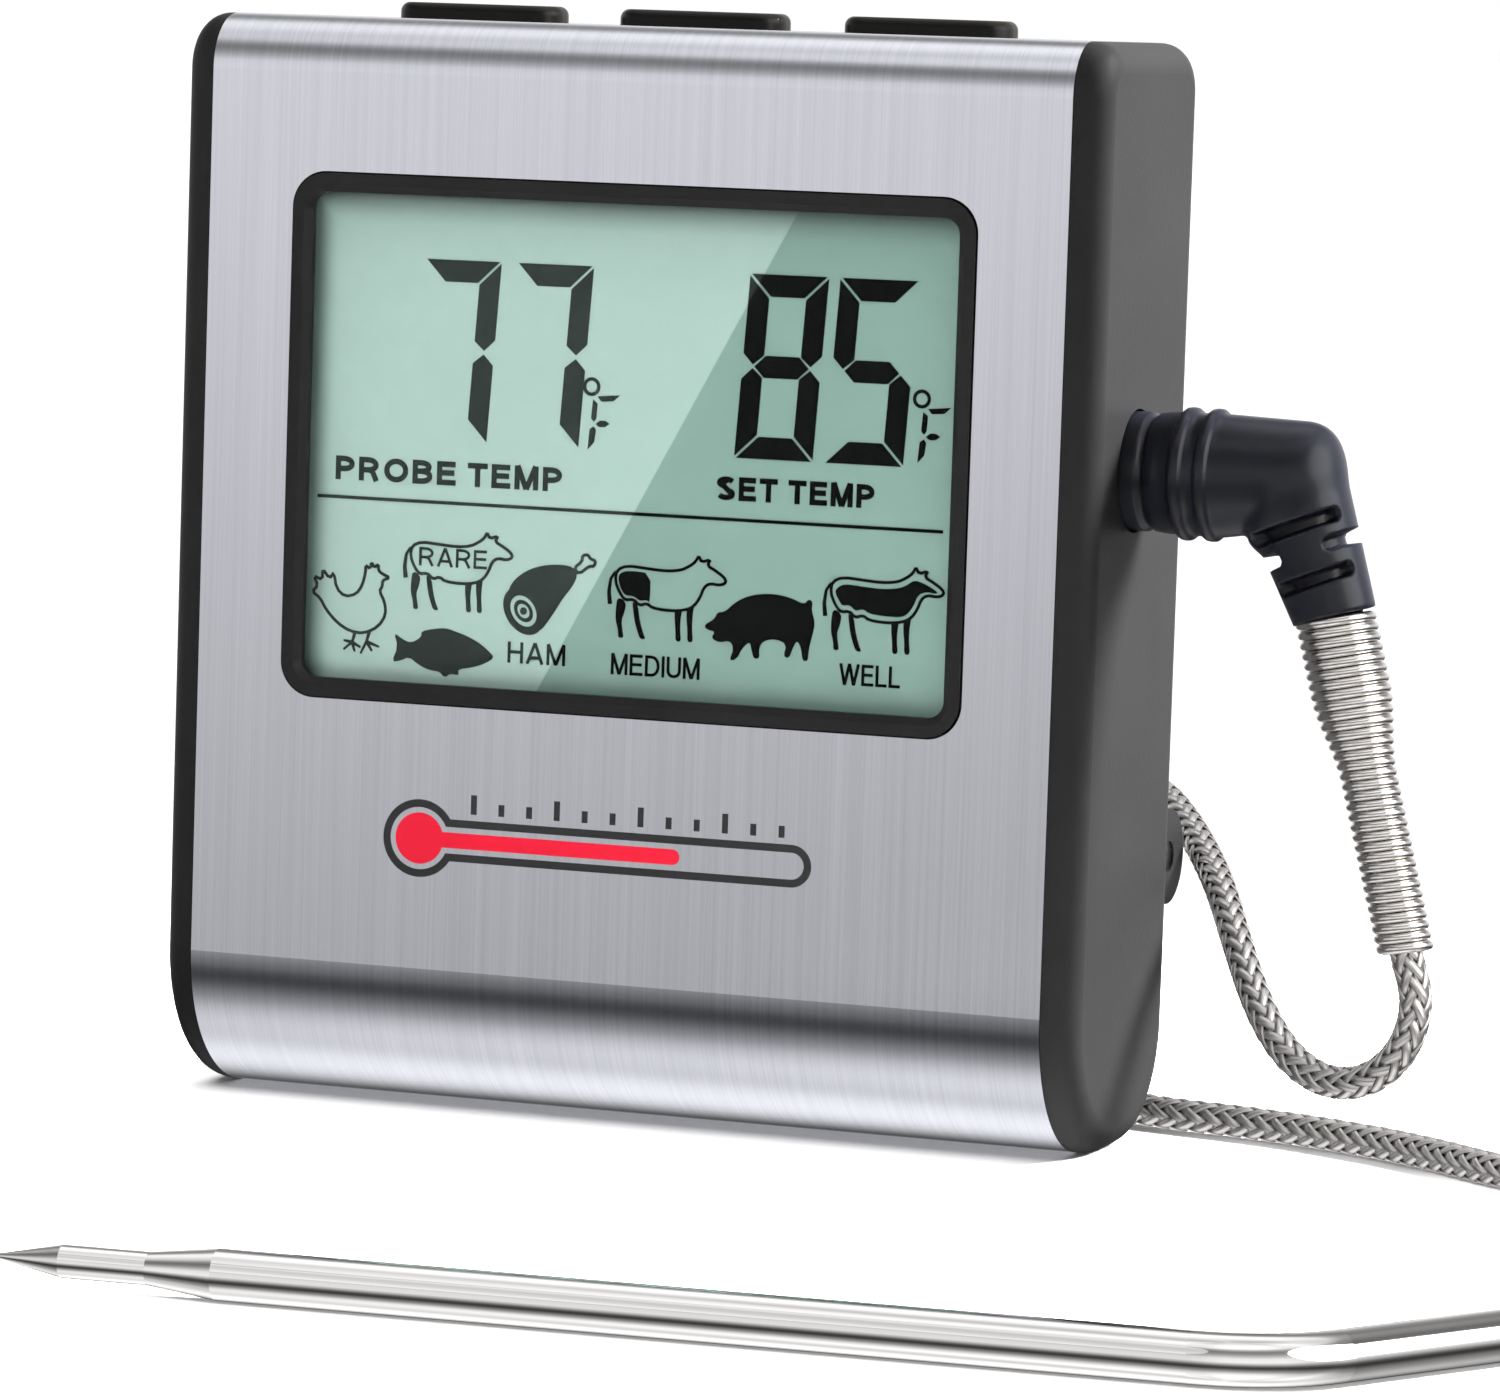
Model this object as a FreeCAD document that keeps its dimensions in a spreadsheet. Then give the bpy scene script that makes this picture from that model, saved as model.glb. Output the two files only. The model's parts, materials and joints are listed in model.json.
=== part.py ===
"""Digital meat thermometer: an upright case with a display, three keys, a stand and a wired steel probe.

Millimetres. +Z is up, -Y is the front, +X is the side that the probe plugs into.
The origin is on the flat under the case, in the middle of its width and of its depth.
"""
import FreeCAD, Part
import math
import os
import re

import Sketcher

Vector = FreeCAD.Vector

SIZES = {
    # the case, seen from the side: a box with four different edge radii
    "case_width": 62.2,
    "case_depth": 20.0,
    "case_height": 70.0,
    "front_top_radius": 3.5,
    "rear_top_radius": 3.1,
    "front_bottom_radius": 9.5,
    "rear_bottom_radius": 7.5,
    "cap_thickness": 2.15,
    "cap_edge_radius": 1.9,
    "part_gap": 0.05,
    "rim_length": 2.0,
    "rim_wall": 1.0,
    # the steel skin and the plastic chassis under it
    "steel_thickness": 0.5,
    "steel_top_end": 5.9,
    "steel_bottom_end": 2.4,
    "chassis_wall": 1.15,
    "rear_wall": 1.4,
    # the display window
    "window_width": 46.0,
    "window_height": 33.5,
    "window_centre_z": 43.3,
    "window_corner": 2.3,
    "bezel_ring": 1.2,
    "bezel_proud": 0.15,
    "bezel_depth": 1.85,
    "bezel_slope": 0.45,
    "lens_thickness": 0.9,
    "lens_overlap": 0.75,
    "lcd_width": 48.0,
    "lcd_height": 36.0,
    "lcd_thickness": 1.8,
    "reflector_thickness": 0.3,
    "reflector_height": 31.0,
    "contact_strip_height": 1.2,
    # the circuit board and what is soldered to it
    "board_front": -4.5,
    "board_thickness": 1.0,
    "board_width": 44.8,
    "board_bottom": 8.0,
    "board_top": 65.5,
    "chip_radius": 4.0,
    "chip_rise": 1.2,
    "chip_x": 6.0,
    "chip_z": 28.0,
    "buzzer_radius": 6.0,
    "buzzer_depth": 3.0,
    "buzzer_x": -14.0,
    "buzzer_z": 30.0,
    "buzzer_hole_radius": 0.8,
    "buzzer_edge_radius": 0.5,
    # the three keys on top
    "key_width": 11.2,
    "key_depth": 4.4,
    "key_proud": 1.05,
    "key_corner": 1.9,
    "key_edge_radius": 0.6,
    "key_slot_gap": 0.15,
    "key_pitch": 15.3,
    "key_offset": 0.3,
    "key_centre_y": 1.5,
    "key_flange": 0.6,
    "key_flange_top": 68.2,
    "key_flange_thickness": 1.0,
    "key_stem_radius": 1.2,
    "plunger_radius": 1.0,
    "plunger_top": 65.2,
    "plunger_bottom": 62.9,
    "switch_top": 64.1,
    "switch_bottom": 60.6,
    "switch_width": 6.0,
    "switch_well": 62.0,
    "switch_rear": 3.7,
    # the battery and its bay
    "battery_radius": 5.2,
    "battery_length": 43.3,
    "battery_start": -23.6,
    "battery_centre_y": 2.8,
    "battery_centre_z": 53.0,
    "battery_nub_radius": 1.9,
    "battery_nub_length": 1.2,
    "bay_start": -27.6,
    "bay_end": 21.3,
    "bay_height": 10.8,
    "bay_front": -2.5,
    "bay_rear": 8.5,
    "bay_wall": 0.6,
    "contact_plate": 0.4,
    "contact_half_size": 4.0,
    "contact_wire": 0.4,
    "contact_ring_start": 0.35,
    "contact_ring_pitch": 0.66,
    "contact_ring_radius": 3.4,
    "contact_ring_shrink": 0.4,
    "battery_shoulder": 0.6,
    "battery_base_radius": 0.4,
    # the battery door, hinged on its round lower edge
    "door_left": -26.95,
    "door_right": 22.95,
    "door_axis_y": 9.3,
    "door_axis_z": 46.9,
    "door_height": 12.9,
    "door_gap": 0.15,
    "door_pin_radius": 0.45,
    "door_pin_length": 0.8,
    "running_gap": 0.05,
    "grip_left": -7.0,
    "grip_right": 3.0,
    "grip_first": 2.0,
    "grip_pitch": 1.2,
    "grip_half_height": 0.3,
    "grip_depth": 0.3,
    # the screws that hold the rear cover
    "screw_x": 24.6,
    "screw_low_z": 10.5,
    "screw_high_z": 63.5,
    "screw_head_radius": 2.0,
    "screw_head_height": 0.8,
    "screw_radius": 0.8,
    "screw_length": 9.0,
    "screw_clearance": 0.2,
    "screw_recess": 0.1,
    "screw_slot_width": 0.5,
    "screw_slot_depth": 0.4,
    "sound_slot_pitch": 2.0,
    "sound_slot_half_height": 0.4,
    "sound_slot_near": 6.0,
    "sound_slot_far": 12.0,
    "screw_boss_radius": 1.9,
    # the folding stand
    "hinge_y": 13.3,
    "hinge_z": 17.5,
    "ear_radius": 3.1,
    "ear_inner_x": 25.4,
    "ear_outer_x": 29.8,
    "barrel_radius": 2.6,
    "hinge_pin_radius": 1.0,
    "hinge_pin_length": 8.6,
    "leg_front": 10.5,
    "leg_thickness": 2.6,
    "leg_half_width": 17.0,
    "leg_tip_half_width": 13.0,
    "leg_top": 44.7,
    "foot_thickness": 0.8,
    "foot_corner": 0.8,
    "hinge_side_gap": 0.2,
    "leg_shoulder": 4.0,
    "magnet_cup_wall": 0.9,
    "magnet_cup_lip": 0.2,
    "magnet_cup_root": 0.5,
    "magnet_radius": 4.45,
    "magnet_thickness": 2.6,
    "magnet_x": 7.0,
    "magnet_z": 33.0,
    "magnet_face": 16.5,
    # the probe jack and the plug
    "jack_y": -1.0,
    "jack_z": 43.3,
    "jack_size": 5.0,
    "jack_start": 16.3,
    "jack_end": 28.85,
    "terminal_first": 1.5,
    "terminal_pitch": 3.5,
    "terminal_width": 1.4,
    "terminal_thickness": 0.4,
    "terminal_drop": 2.5,
    "cap_hole_radius": 3.9,
    "plug_radius": 1.25,
    "plug_length": 11.0,
    "plug_start": 29.4,
    "plug_notch_start": 7.6,
    "plug_notch_bottom": 8.6,
    "plug_notch_end": 9.4,
    "plug_notch_depth": 0.45,
    "plug_tip_radius": 0.4,
    "boot_radius": 3.8,
    "boot_nose_radius": 3.75,
    "boot_nose_bevel": 0.4,
    "boot_groove_start": 2.8,
    "boot_groove_end": 3.2,
    "boot_groove_depth": 0.3,
    "boot_ring_radius": 4.18,
    "boot_ring_width": 0.9,
    "boot_ring_slope": 0.15,
    "boot_first_ring": 4.85,
    "boot_second_ring": 6.5,
    "boot_reach": 11.7,
    "arm_angle": 21.0,
    "arm_length": 9.0,
    "arm_start_radius": 3.5,
    "arm_end_radius": 2.65,
    # the coil spring over the cable
    "spring_angle": 14.7,
    "spring_gap": 0.35,
    "spring_length": 21.2,
    "spring_wide_length": 4.5,
    "spring_taper_end": 9.5,
    "spring_top_radius": 2.55,
    "spring_radius": 1.8,
    "spring_wire": 0.65,
    "nipple_radius": 1.8,
    "nipple_length": 4.4,
    # the braided cable: its coil lies flat on the floor
    "cable_radius": 1.05,
    "coil_x": 79.0,
    "coil_y": -18.0,
    "coil_mean_radius": 11.5,
    "coil_width": 8.4,
    "coil_height": 6.3,
    "coil_edge_radius": 1.0,
    "tie_width": 3.0,
    "tie_thickness": 0.3,
    "tie_gap": 0.05,
    "tie_side_gap": 0.3,
    "tie_bearing": 200.0,
    "coil_lift": 0.35,
    "cable_length": 1000.0,
    # the probe, lying on the floor in front of the case
    "probe_radius": 1.45,
    "probe_tip_x": -9.3,
    "probe_tip_y": -78.0,
    "probe_angle": 4.0,
    "probe_needle_radius": 0.95,
    "probe_point_length": 4.2,
    "probe_needle_end": 9.3,
    "probe_flare_end": 13.3,
    "probe_straight": 72.4,
    "probe_bend_turn": 56.0,
    "probe_bend_radius": 8.5,
    "probe_arm": 33.0,
    "probe_point_radius": 0.12,
    "probe_point_round": 0.2,
    "probe_bore_radius": 1.15,
    "tip_bore_radius": 0.6,
    "tip_shoulder": 1.0,
    "crimp_length": 3.0,
    "crimp_insert": 3.0,
    "crimp_lip": 0.4,
    "crimp_lip_depth": 0.1,
    "crimp_end_wall": 0.15,
    "thermistor_radius": 0.55,
    "thermistor_length": 3.0,
}

# Route of the free cable from the spring's end, behind the case, to the coil on the floor.
CABLE_RUN = [
    (50.7, -1.0, 11.2),
    (49.8, -0.7, 8.0),
    (47.3, 0.2, 5.8),
    (44.2, 1.5, 5.3),
    (41.2, 3.2, 6.5),
    (38.6, 5.2, 9.2),
    (36.2, 8.2, 12.7),
    (33.8, 12.4, 15.5),
    (31.4, 16.5, 17.3),
    (29.0, 20.0, 18.9),
    (26.4, 23.5, 20.2),
    (23.4, 27.4, 20.6),
    (21.2, 31.4, 18.2),
    (20.4, 34.4, 13.6),
    (20.4, 35.0, 8.0),
    (21.2, 33.0, 3.2),
    (22.0, 28.8, 1.1),
    (22.2, 23.2, 1.1),
    (23.0, 17.6, 1.1),
    (26.2, 13.0, 1.1),
    (31.2, 10.9, 1.1),
    (37.0, 10.0, 1.1),
    (43.0, 8.1, 1.1),
    (49.4, 4.9, 1.1),
    (55.9, -0.4, 1.1),
    (62.2, -4.3, 1.1),
    (69.2, -5.3, 1.1),
    (76.2, -4.2, 1.5),
]
# Route from the coil to the probe's bent end.
CABLE_TAIL = [
    (91.2, -26.6, 1.5),
    (88.8, -31.0, 1.1),
    (85.6, -35.6, 1.2),
]

document = FreeCAD.newDocument("MeatThermometer")
sheet = document.addObject("Spreadsheet::Sheet", "Sizes")
for row, (alias, number) in enumerate(SIZES.items(), start=1):
    sheet.set(f"A{row}", alias)
    sheet.set(f"B{row}", str(number))
    sheet.setAlias(f"B{row}", alias)
document.recompute()

nodes = {}


# ---- helpers ---------------------------------------------------------------------------------------

def sized(text):
    """An expression with each size name pointed at its cell."""
    return re.sub(r"[a-z]\w*", lambda word: "Sizes." + word[0] if word[0] in SIZES else word[0], text)


def value(text):
    """The number that an expression of sizes comes to."""
    return float(sheet.evalExpression(text))


def bind(thing, **properties):
    """Bind each property to an expression of sizes; a double underscore stands for a dot."""
    for name, text in properties.items():
        thing.setExpression(name.replace("__", "."), sized(text))


def place(thing, x="0", y="0", z="0"):
    for axis, text in (("x", x), ("y", y), ("z", z)):
        if text != "0":
            thing.setExpression("Placement.Base." + axis, sized(text))


def keep(label, thing):
    """Make an object a sub-part: its label is its file's name."""
    thing.Label = label
    nodes[label] = thing
    return thing


def new_body(label):
    return keep(label, document.addObject("PartDesign::Body", label))


def origin_plane(body, role):
    return next(feature for feature in body.Origin.OriginFeatures if feature.Role == role)


def new_sketch(body, role, offset="0"):
    """A sketch on one of the body's own planes, moved along that plane's normal."""
    sketch = body.newObject("Sketcher::SketchObject", body.Name + "_sketch")
    sketch.AttachmentSupport = [(origin_plane(body, role), "")]
    sketch.MapMode = "FlatFace"
    if offset != "0":
        sketch.setExpression("AttachmentOffset.Base.z", sized(offset))
    return sketch


def pin_point(sketch, geometry, end, x, y):
    """Fix one end of a line or arc at an x and a y given as expressions."""
    for kind, axis, text in (("DistanceX", -2, x), ("DistanceY", -1, y)):
        if abs(value(text)) < 1e-9:
            sketch.addConstraint(Sketcher.Constraint("PointOnObject", geometry, end, axis))
            continue
        index = sketch.addConstraint(Sketcher.Constraint(kind, -1, 1, geometry, end, value(text)))
        sketch.setExpression(f"Constraints[{index}]", sized(text))


def arc_between(start, end, radius, left):
    """A counter-clockwise arc through two points; left says that its centre is left of start to end."""
    half = (end - start) * 0.5
    rise = math.sqrt(max(radius * radius - half.Length ** 2, 0.0))
    across = Vector(-half.y, half.x, 0).normalize() * (rise if left else -rise)
    centre = start + half + across
    first, last = (start, end) if left else (end, start)
    angles = [math.atan2(point.y - centre.y, point.x - centre.x) for point in (first, last)]
    if angles[1] <= angles[0]:
        angles[1] += 2 * math.pi
    circle = Part.Circle(centre, Vector(0, 0, 1), radius)
    return Part.ArcOfCircle(circle, *angles)


def outline(sketch, corners):
    """A closed outline. A corner is (x, y), or (x, y, radius, turn) where an arc leaves it."""
    points = [Vector(value(corner[0]), value(corner[1]), 0) for corner in corners]
    ends = []
    for index, corner in enumerate(corners):
        start = points[index]
        end = points[(index + 1) % len(points)]
        if len(corner) == 2:
            geometry = sketch.addGeometry(Part.LineSegment(start, end))
            ends.append((geometry, 1, 2))
            continue
        left = corner[3] == "left"
        geometry = sketch.addGeometry(arc_between(start, end, value(corner[2]), left))
        ends.append((geometry, 1, 2) if left else (geometry, 2, 1))
        radius = sketch.addConstraint(Sketcher.Constraint("Radius", geometry, value(corner[2])))
        sketch.setExpression(f"Constraints[{radius}]", sized(corner[2]))
    for index, (geometry, start, _) in enumerate(ends):
        before = ends[index - 1]
        sketch.addConstraint(Sketcher.Constraint("Coincident", before[0], before[2], geometry, start))
        pin_point(sketch, geometry, start, corners[index][0], corners[index][1])


def rounded_outline(sketch, x, y, width, height, radius):
    """A rectangle centred on x, y with rounded corners."""
    half_x, half_y = f"({width}) / 2", f"({height}) / 2"
    left, right = f"{x} - {half_x}", f"{x} + {half_x}"
    low, high = f"{y} - {half_y}", f"{y} + {half_y}"
    outline(sketch, [
        (f"{left} + {radius}", low),
        (f"{right} - {radius}", low, radius, "left"),
        (right, f"{low} + {radius}"),
        (right, f"{high} - {radius}", radius, "left"),
        (f"{right} - {radius}", high),
        (f"{left} + {radius}", high, radius, "left"),
        (left, f"{high} - {radius}"),
        (left, f"{low} + {radius}", radius, "left"),
    ])


def plain_outline(sketch, left, right, low, high):
    outline(sketch, [(left, low), (right, low), (right, high), (left, high)])


def circle_outline(sketch, x, y, radius):
    centre = Vector(value(x), value(y), 0)
    geometry = sketch.addGeometry(Part.Circle(centre, Vector(0, 0, 1), value(radius)))
    pin_point(sketch, geometry, 3, x, y)
    index = sketch.addConstraint(Sketcher.Constraint("Radius", geometry, value(radius)))
    sketch.setExpression(f"Constraints[{index}]", sized(radius))


def pad(body, sketch, length, backwards=False):
    feature = body.newObject("PartDesign::Pad", body.Name + "_pad")
    feature.Profile = sketch
    feature.setExpression("Length", sized(length))
    feature.Reversed = backwards
    document.recompute()
    return feature


def pocket(body, sketch, length, both_ways=False, backwards=False):
    """Cut the sketch against its normal, or along it when backwards; it must remove something."""
    before = body.Shape.Volume
    feature = body.newObject("PartDesign::Pocket", body.Name + "_pocket")
    feature.Profile = sketch
    feature.setExpression("Length", sized(length))
    feature.SideType = "Symmetric" if both_ways else "One side"
    feature.Reversed = backwards
    document.recompute()
    if body.Shape.Volume > before - 1e-6:
        raise RuntimeError(f"{feature.Label} of {body.Label} cuts nothing")
    return feature


def revolve(body, sketch, axis="H_Axis"):
    feature = body.newObject("PartDesign::Revolution", body.Name + "_revolution")
    feature.Profile = sketch
    feature.ReferenceAxis = (sketch, [axis])
    feature.Angle = 360
    document.recompute()
    return feature


def round_edges(body, feature, radius, wanted):
    """Fillet the edges whose end points all satisfy wanted."""
    names = []
    for number, edge in enumerate(feature.Shape.Edges, start=1):
        if all(wanted(vertex.Point) for vertex in edge.Vertexes):
            names.append(f"Edge{number}")
    fillet = body.newObject("PartDesign::Fillet", body.Name + "_fillet")
    fillet.Base = (feature, names)
    fillet.setExpression("Radius", sized(radius))
    document.recompute()
    return fillet


def box(name, x, y, z, width, depth, height):
    """A block given by its least corner and its three sizes."""
    block = document.addObject("Part::Box", name)
    bind(block, Length=width, Width=depth, Height=height)
    place(block, x, y, z)
    return block


def group(label, things):
    """Several separate solids in one sub-part."""
    together = document.addObject("Part::Compound", label)
    together.Links = things
    return keep(label, together)


def difference(label, base, tool):
    result = document.addObject("Part::Cut", label)
    result.Base = base
    result.Tool = tool
    return keep(label, result)


# ---- outlines that several pieces share ------------------------------------------------------------

def wrap_corners(outer, inner, top_end, bottom_end):
    """Side outline, in y and z, of a wall that runs over the top, down the front and under the case."""
    front = "-case_depth / 2"
    top = "case_height"
    top_centre = f"{front} + front_top_radius"
    bottom_centre = f"{front} + front_bottom_radius"
    return [
        (top_end, f"{top} - {outer}"),
        (top_centre, f"{top} - {outer}", f"front_top_radius - {outer}", "left"),
        (f"{front} + {outer}", f"{top} - front_top_radius"),
        (f"{front} + {outer}", "front_bottom_radius", f"front_bottom_radius - {outer}", "left"),
        (bottom_centre, outer),
        (bottom_end, outer),
        (bottom_end, inner),
        (bottom_centre, inner, f"front_bottom_radius - {inner}", "right"),
        (f"{front} + {inner}", "front_bottom_radius"),
        (f"{front} + {inner}", f"{top} - front_top_radius", f"front_top_radius - {inner}", "right"),
        (top_centre, f"{top} - {inner}"),
        (top_end, f"{top} - {inner}"),
    ]


def side_corners():
    """The whole side outline of the case, in y and z."""
    front, rear, top = "-case_depth / 2", "case_depth / 2", "case_height"
    return [
        (f"{front} + front_bottom_radius", "0"),
        (f"{rear} - rear_bottom_radius", "0", "rear_bottom_radius", "left"),
        (rear, "rear_bottom_radius"),
        (rear, f"{top} - rear_top_radius", "rear_top_radius", "left"),
        (f"{rear} - rear_top_radius", top),
        (f"{front} + front_top_radius", top, "front_top_radius", "left"),
        (front, f"{top} - front_top_radius"),
        (front, "front_bottom_radius", "front_bottom_radius", "left"),
    ]


CHASSIS_OUTER = "(steel_thickness + part_gap)"
CHASSIS_INNER = "(steel_thickness + part_gap + chassis_wall)"
RIM_OUTER = "(steel_thickness + 2 * part_gap + chassis_wall)"
RIM_INNER = "(steel_thickness + 2 * part_gap + chassis_wall + rim_wall)"
SKIN_WIDTH = "case_width - 2 * cap_thickness - 2 * part_gap"
KEY_PLACES = {
    "left": "key_offset - key_pitch",
    "middle": "key_offset",
    "right": "key_offset + key_pitch",
}


def cut_window(body):
    opening = new_sketch(body, "XZ_Plane", "case_depth / 2")
    rounded_outline(opening, "0", "window_centre_z", "window_width + 4 * part_gap",
                    "window_height + 4 * part_gap", "window_corner")
    pocket(body, opening, "3 * chassis_wall", both_ways=True)


def cut_key_slots(body):
    slots = new_sketch(body, "XY_Plane", "case_height")
    for centre in KEY_PLACES.values():
        rounded_outline(slots, centre, "key_centre_y", "key_width + 2 * key_slot_gap",
                        "key_depth + 2 * key_slot_gap", "key_corner")
    pocket(body, slots, "4 * chassis_wall", both_ways=True)


# ---- casing ----------------------------------------------------------------------------------------

def make_steel_cover():
    body = new_body("steel_cover")
    side = new_sketch(body, "YZ_Plane", f"-({SKIN_WIDTH}) / 2")
    outline(side, wrap_corners("0", "steel_thickness", "steel_top_end", "steel_bottom_end"))
    pad(body, side, SKIN_WIDTH)
    cut_window(body)
    cut_key_slots(body)


def make_front_chassis():
    body = new_body("front_chassis")
    width = f"({SKIN_WIDTH} - 1)"
    side = new_sketch(body, "YZ_Plane", f"-{width} / 2")
    outline(side, wrap_corners(CHASSIS_OUTER, CHASSIS_INNER, "steel_top_end - 0.3", "steel_bottom_end - 0.2"))
    pad(body, side, width)
    cut_window(body)
    cut_key_slots(body)
    rear_inside = "(case_depth / 2 - rear_wall - 0.1)"
    bosses = new_sketch(body, "XZ_Plane", f"-{rear_inside}")
    holes = new_sketch(body, "XZ_Plane", f"-{rear_inside}")
    for x in ("-screw_x", "screw_x"):
        for z in ("screw_low_z", "screw_high_z"):
            circle_outline(bosses, x, z, "screw_boss_radius")
            circle_outline(holes, x, z, "screw_radius")
    pad(body, bosses, f"{rear_inside} + case_depth / 2 - {CHASSIS_INNER} + 0.2")
    pocket(body, holes, "screw_length + 0.6", backwards=True)


def make_end_cap(label, side):
    """A solid side plate with a rounded outer edge and a rim that locates it inside the chassis."""
    body = new_body(label)
    sign = "" if side > 0 else "-"
    inner_face = f"{sign}(case_width / 2 - cap_thickness)"
    outer_x = side * value("case_width / 2")
    plate = new_sketch(body, "YZ_Plane", inner_face)
    outline(plate, side_corners())
    plate_pad = pad(body, plate, "cap_thickness", backwards=side < 0)
    round_edges(body, plate_pad, "cap_edge_radius", lambda point: abs(point.x - outer_x) < 1e-4)
    rim = new_sketch(body, "YZ_Plane", inner_face)
    outline(rim, wrap_corners(RIM_OUTER, RIM_INNER, "steel_top_end - 1", "steel_bottom_end - 1"))
    pad(body, rim, "rim_length", backwards=side > 0)
    if side > 0:
        hole = new_sketch(body, "YZ_Plane", inner_face)
        circle_outline(hole, "jack_y", "jack_z", "cap_hole_radius")
        pocket(body, hole, "3 * cap_thickness", both_ways=True)


def make_rear_cover():
    body = new_body("rear_cover")
    rear, top = "case_depth / 2", "case_height"
    side = new_sketch(body, "YZ_Plane", f"-({SKIN_WIDTH}) / 2")
    outline(side, [
        (f"{rear} - rear_bottom_radius", "0", "rear_bottom_radius", "left"),
        (rear, "rear_bottom_radius"),
        (rear, f"{top} - rear_top_radius", "rear_top_radius", "left"),
        (f"{rear} - rear_top_radius", top),
        (f"{rear} - rear_top_radius", f"{top} - rear_wall", "rear_top_radius - rear_wall", "right"),
        (f"{rear} - rear_wall", f"{top} - rear_top_radius"),
        (f"{rear} - rear_wall", "rear_bottom_radius", "rear_bottom_radius - rear_wall", "right"),
        (f"{rear} - rear_bottom_radius", "rear_wall"),
    ])
    pad(body, side, SKIN_WIDTH)

    opening = new_sketch(body, "XZ_Plane", f"-{rear}")
    plain_outline(opening, "door_left - door_gap", "door_right + door_gap",
                  "door_axis_z - rear_wall / 2 - door_gap", "door_axis_z + door_height + door_gap")
    pocket(body, opening, "4 * rear_wall", both_ways=True)

    pins = new_sketch(body, "YZ_Plane", "door_left - door_gap - door_pin_length")
    circle_outline(pins, "door_axis_y", "door_axis_z", "door_pin_radius + running_gap")
    pocket(body, pins, "door_right - door_left + 2 * door_gap + 2 * door_pin_length", backwards=True)

    shanks = new_sketch(body, "XZ_Plane", f"-{rear}")
    heads = new_sketch(body, "XZ_Plane", f"-{rear}")
    for x in ("-screw_x", "screw_x"):
        for z in ("screw_low_z", "screw_high_z"):
            circle_outline(shanks, x, z, "screw_radius + screw_clearance")
            circle_outline(heads, x, z, "screw_head_radius + screw_clearance")
    pocket(body, shanks, "4 * rear_wall", both_ways=True)
    pocket(body, heads, "2 * (screw_head_height + screw_recess)", both_ways=True)

    slots = new_sketch(body, "XZ_Plane", f"-{rear}")
    for step in (-1, 0, 1):
        centre = f"(buzzer_z + {step} * sound_slot_pitch)"
        plain_outline(slots, "buzzer_x - sound_slot_far", "buzzer_x - sound_slot_near",
                      f"{centre} - sound_slot_half_height", f"{centre} + sound_slot_half_height")
    pocket(body, slots, "4 * rear_wall", both_ways=True)

    for start, backwards in (("ear_inner_x", False), ("-ear_inner_x", True)):
        # inner half of the ear, rooted in the rear wall
        root = new_sketch(body, "YZ_Plane", start)
        outline(root, [
            (f"{rear} - 0.4", "hinge_z - ear_radius"),
            ("hinge_y", "hinge_z - ear_radius", "ear_radius", "left"),
            ("hinge_y + ear_radius", "hinge_z", "ear_radius", "left"),
            ("hinge_y", "hinge_z + ear_radius"),
            (f"{rear} - 0.4", "hinge_z + ear_radius"),
        ])
        pad(body, root, f"({SKIN_WIDTH}) / 2 - ear_inner_x", backwards=backwards)
        # outer half, a round disc clear of the end cap
        disc = new_sketch(body, "YZ_Plane", start)
        circle_outline(disc, "hinge_y", "hinge_z", "ear_radius")
        pad(body, disc, "ear_outer_x - ear_inner_x", backwards=backwards)
    bore = new_sketch(body, "YZ_Plane")
    circle_outline(bore, "hinge_y", "hinge_z", "hinge_pin_radius")
    pocket(body, bore, "4 * ear_outer_x", both_ways=True)


def make_case_screws():
    screws = []
    face = "(case_depth / 2 - screw_head_height - screw_recess)"
    for number, (x, z) in enumerate(
            ((x, z) for x in ("-screw_x", "screw_x") for z in ("screw_low_z", "screw_high_z")), start=1):
        head = document.addObject("Part::Cylinder", f"screw_head_{number}")
        bind(head, Radius="screw_head_radius", Height="screw_head_height")
        shank = document.addObject("Part::Cylinder", f"screw_shank_{number}")
        bind(shank, Radius="screw_radius", Height="screw_length + screw_slot_depth")
        slot = document.addObject("Part::Box", f"screw_slot_{number}")
        bind(slot, Length="screw_head_radius * 1.4", Width="screw_slot_width",
             Height="screw_slot_depth")
        for thing in (head, shank, slot):
            thing.Placement = FreeCAD.Placement(Vector(), FreeCAD.Rotation(Vector(1, 0, 0), -90))
        place(head, x, face, z)
        place(shank, x, f"{face} - screw_length", z)
        place(slot, f"{x} - screw_head_radius * 0.7", "case_depth / 2 - screw_recess - screw_slot_depth",
              f"{z} + screw_slot_width / 2")
        joined = document.addObject("Part::MultiFuse", f"screw_blank_{number}")
        joined.Shapes = [head, shank]
        screw = document.addObject("Part::Cut", f"screw_{number}")
        screw.Base = joined
        screw.Tool = slot
        screws.append(screw)
    group("case_screws", screws)


# ---- display ---------------------------------------------------------------------------------------

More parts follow.
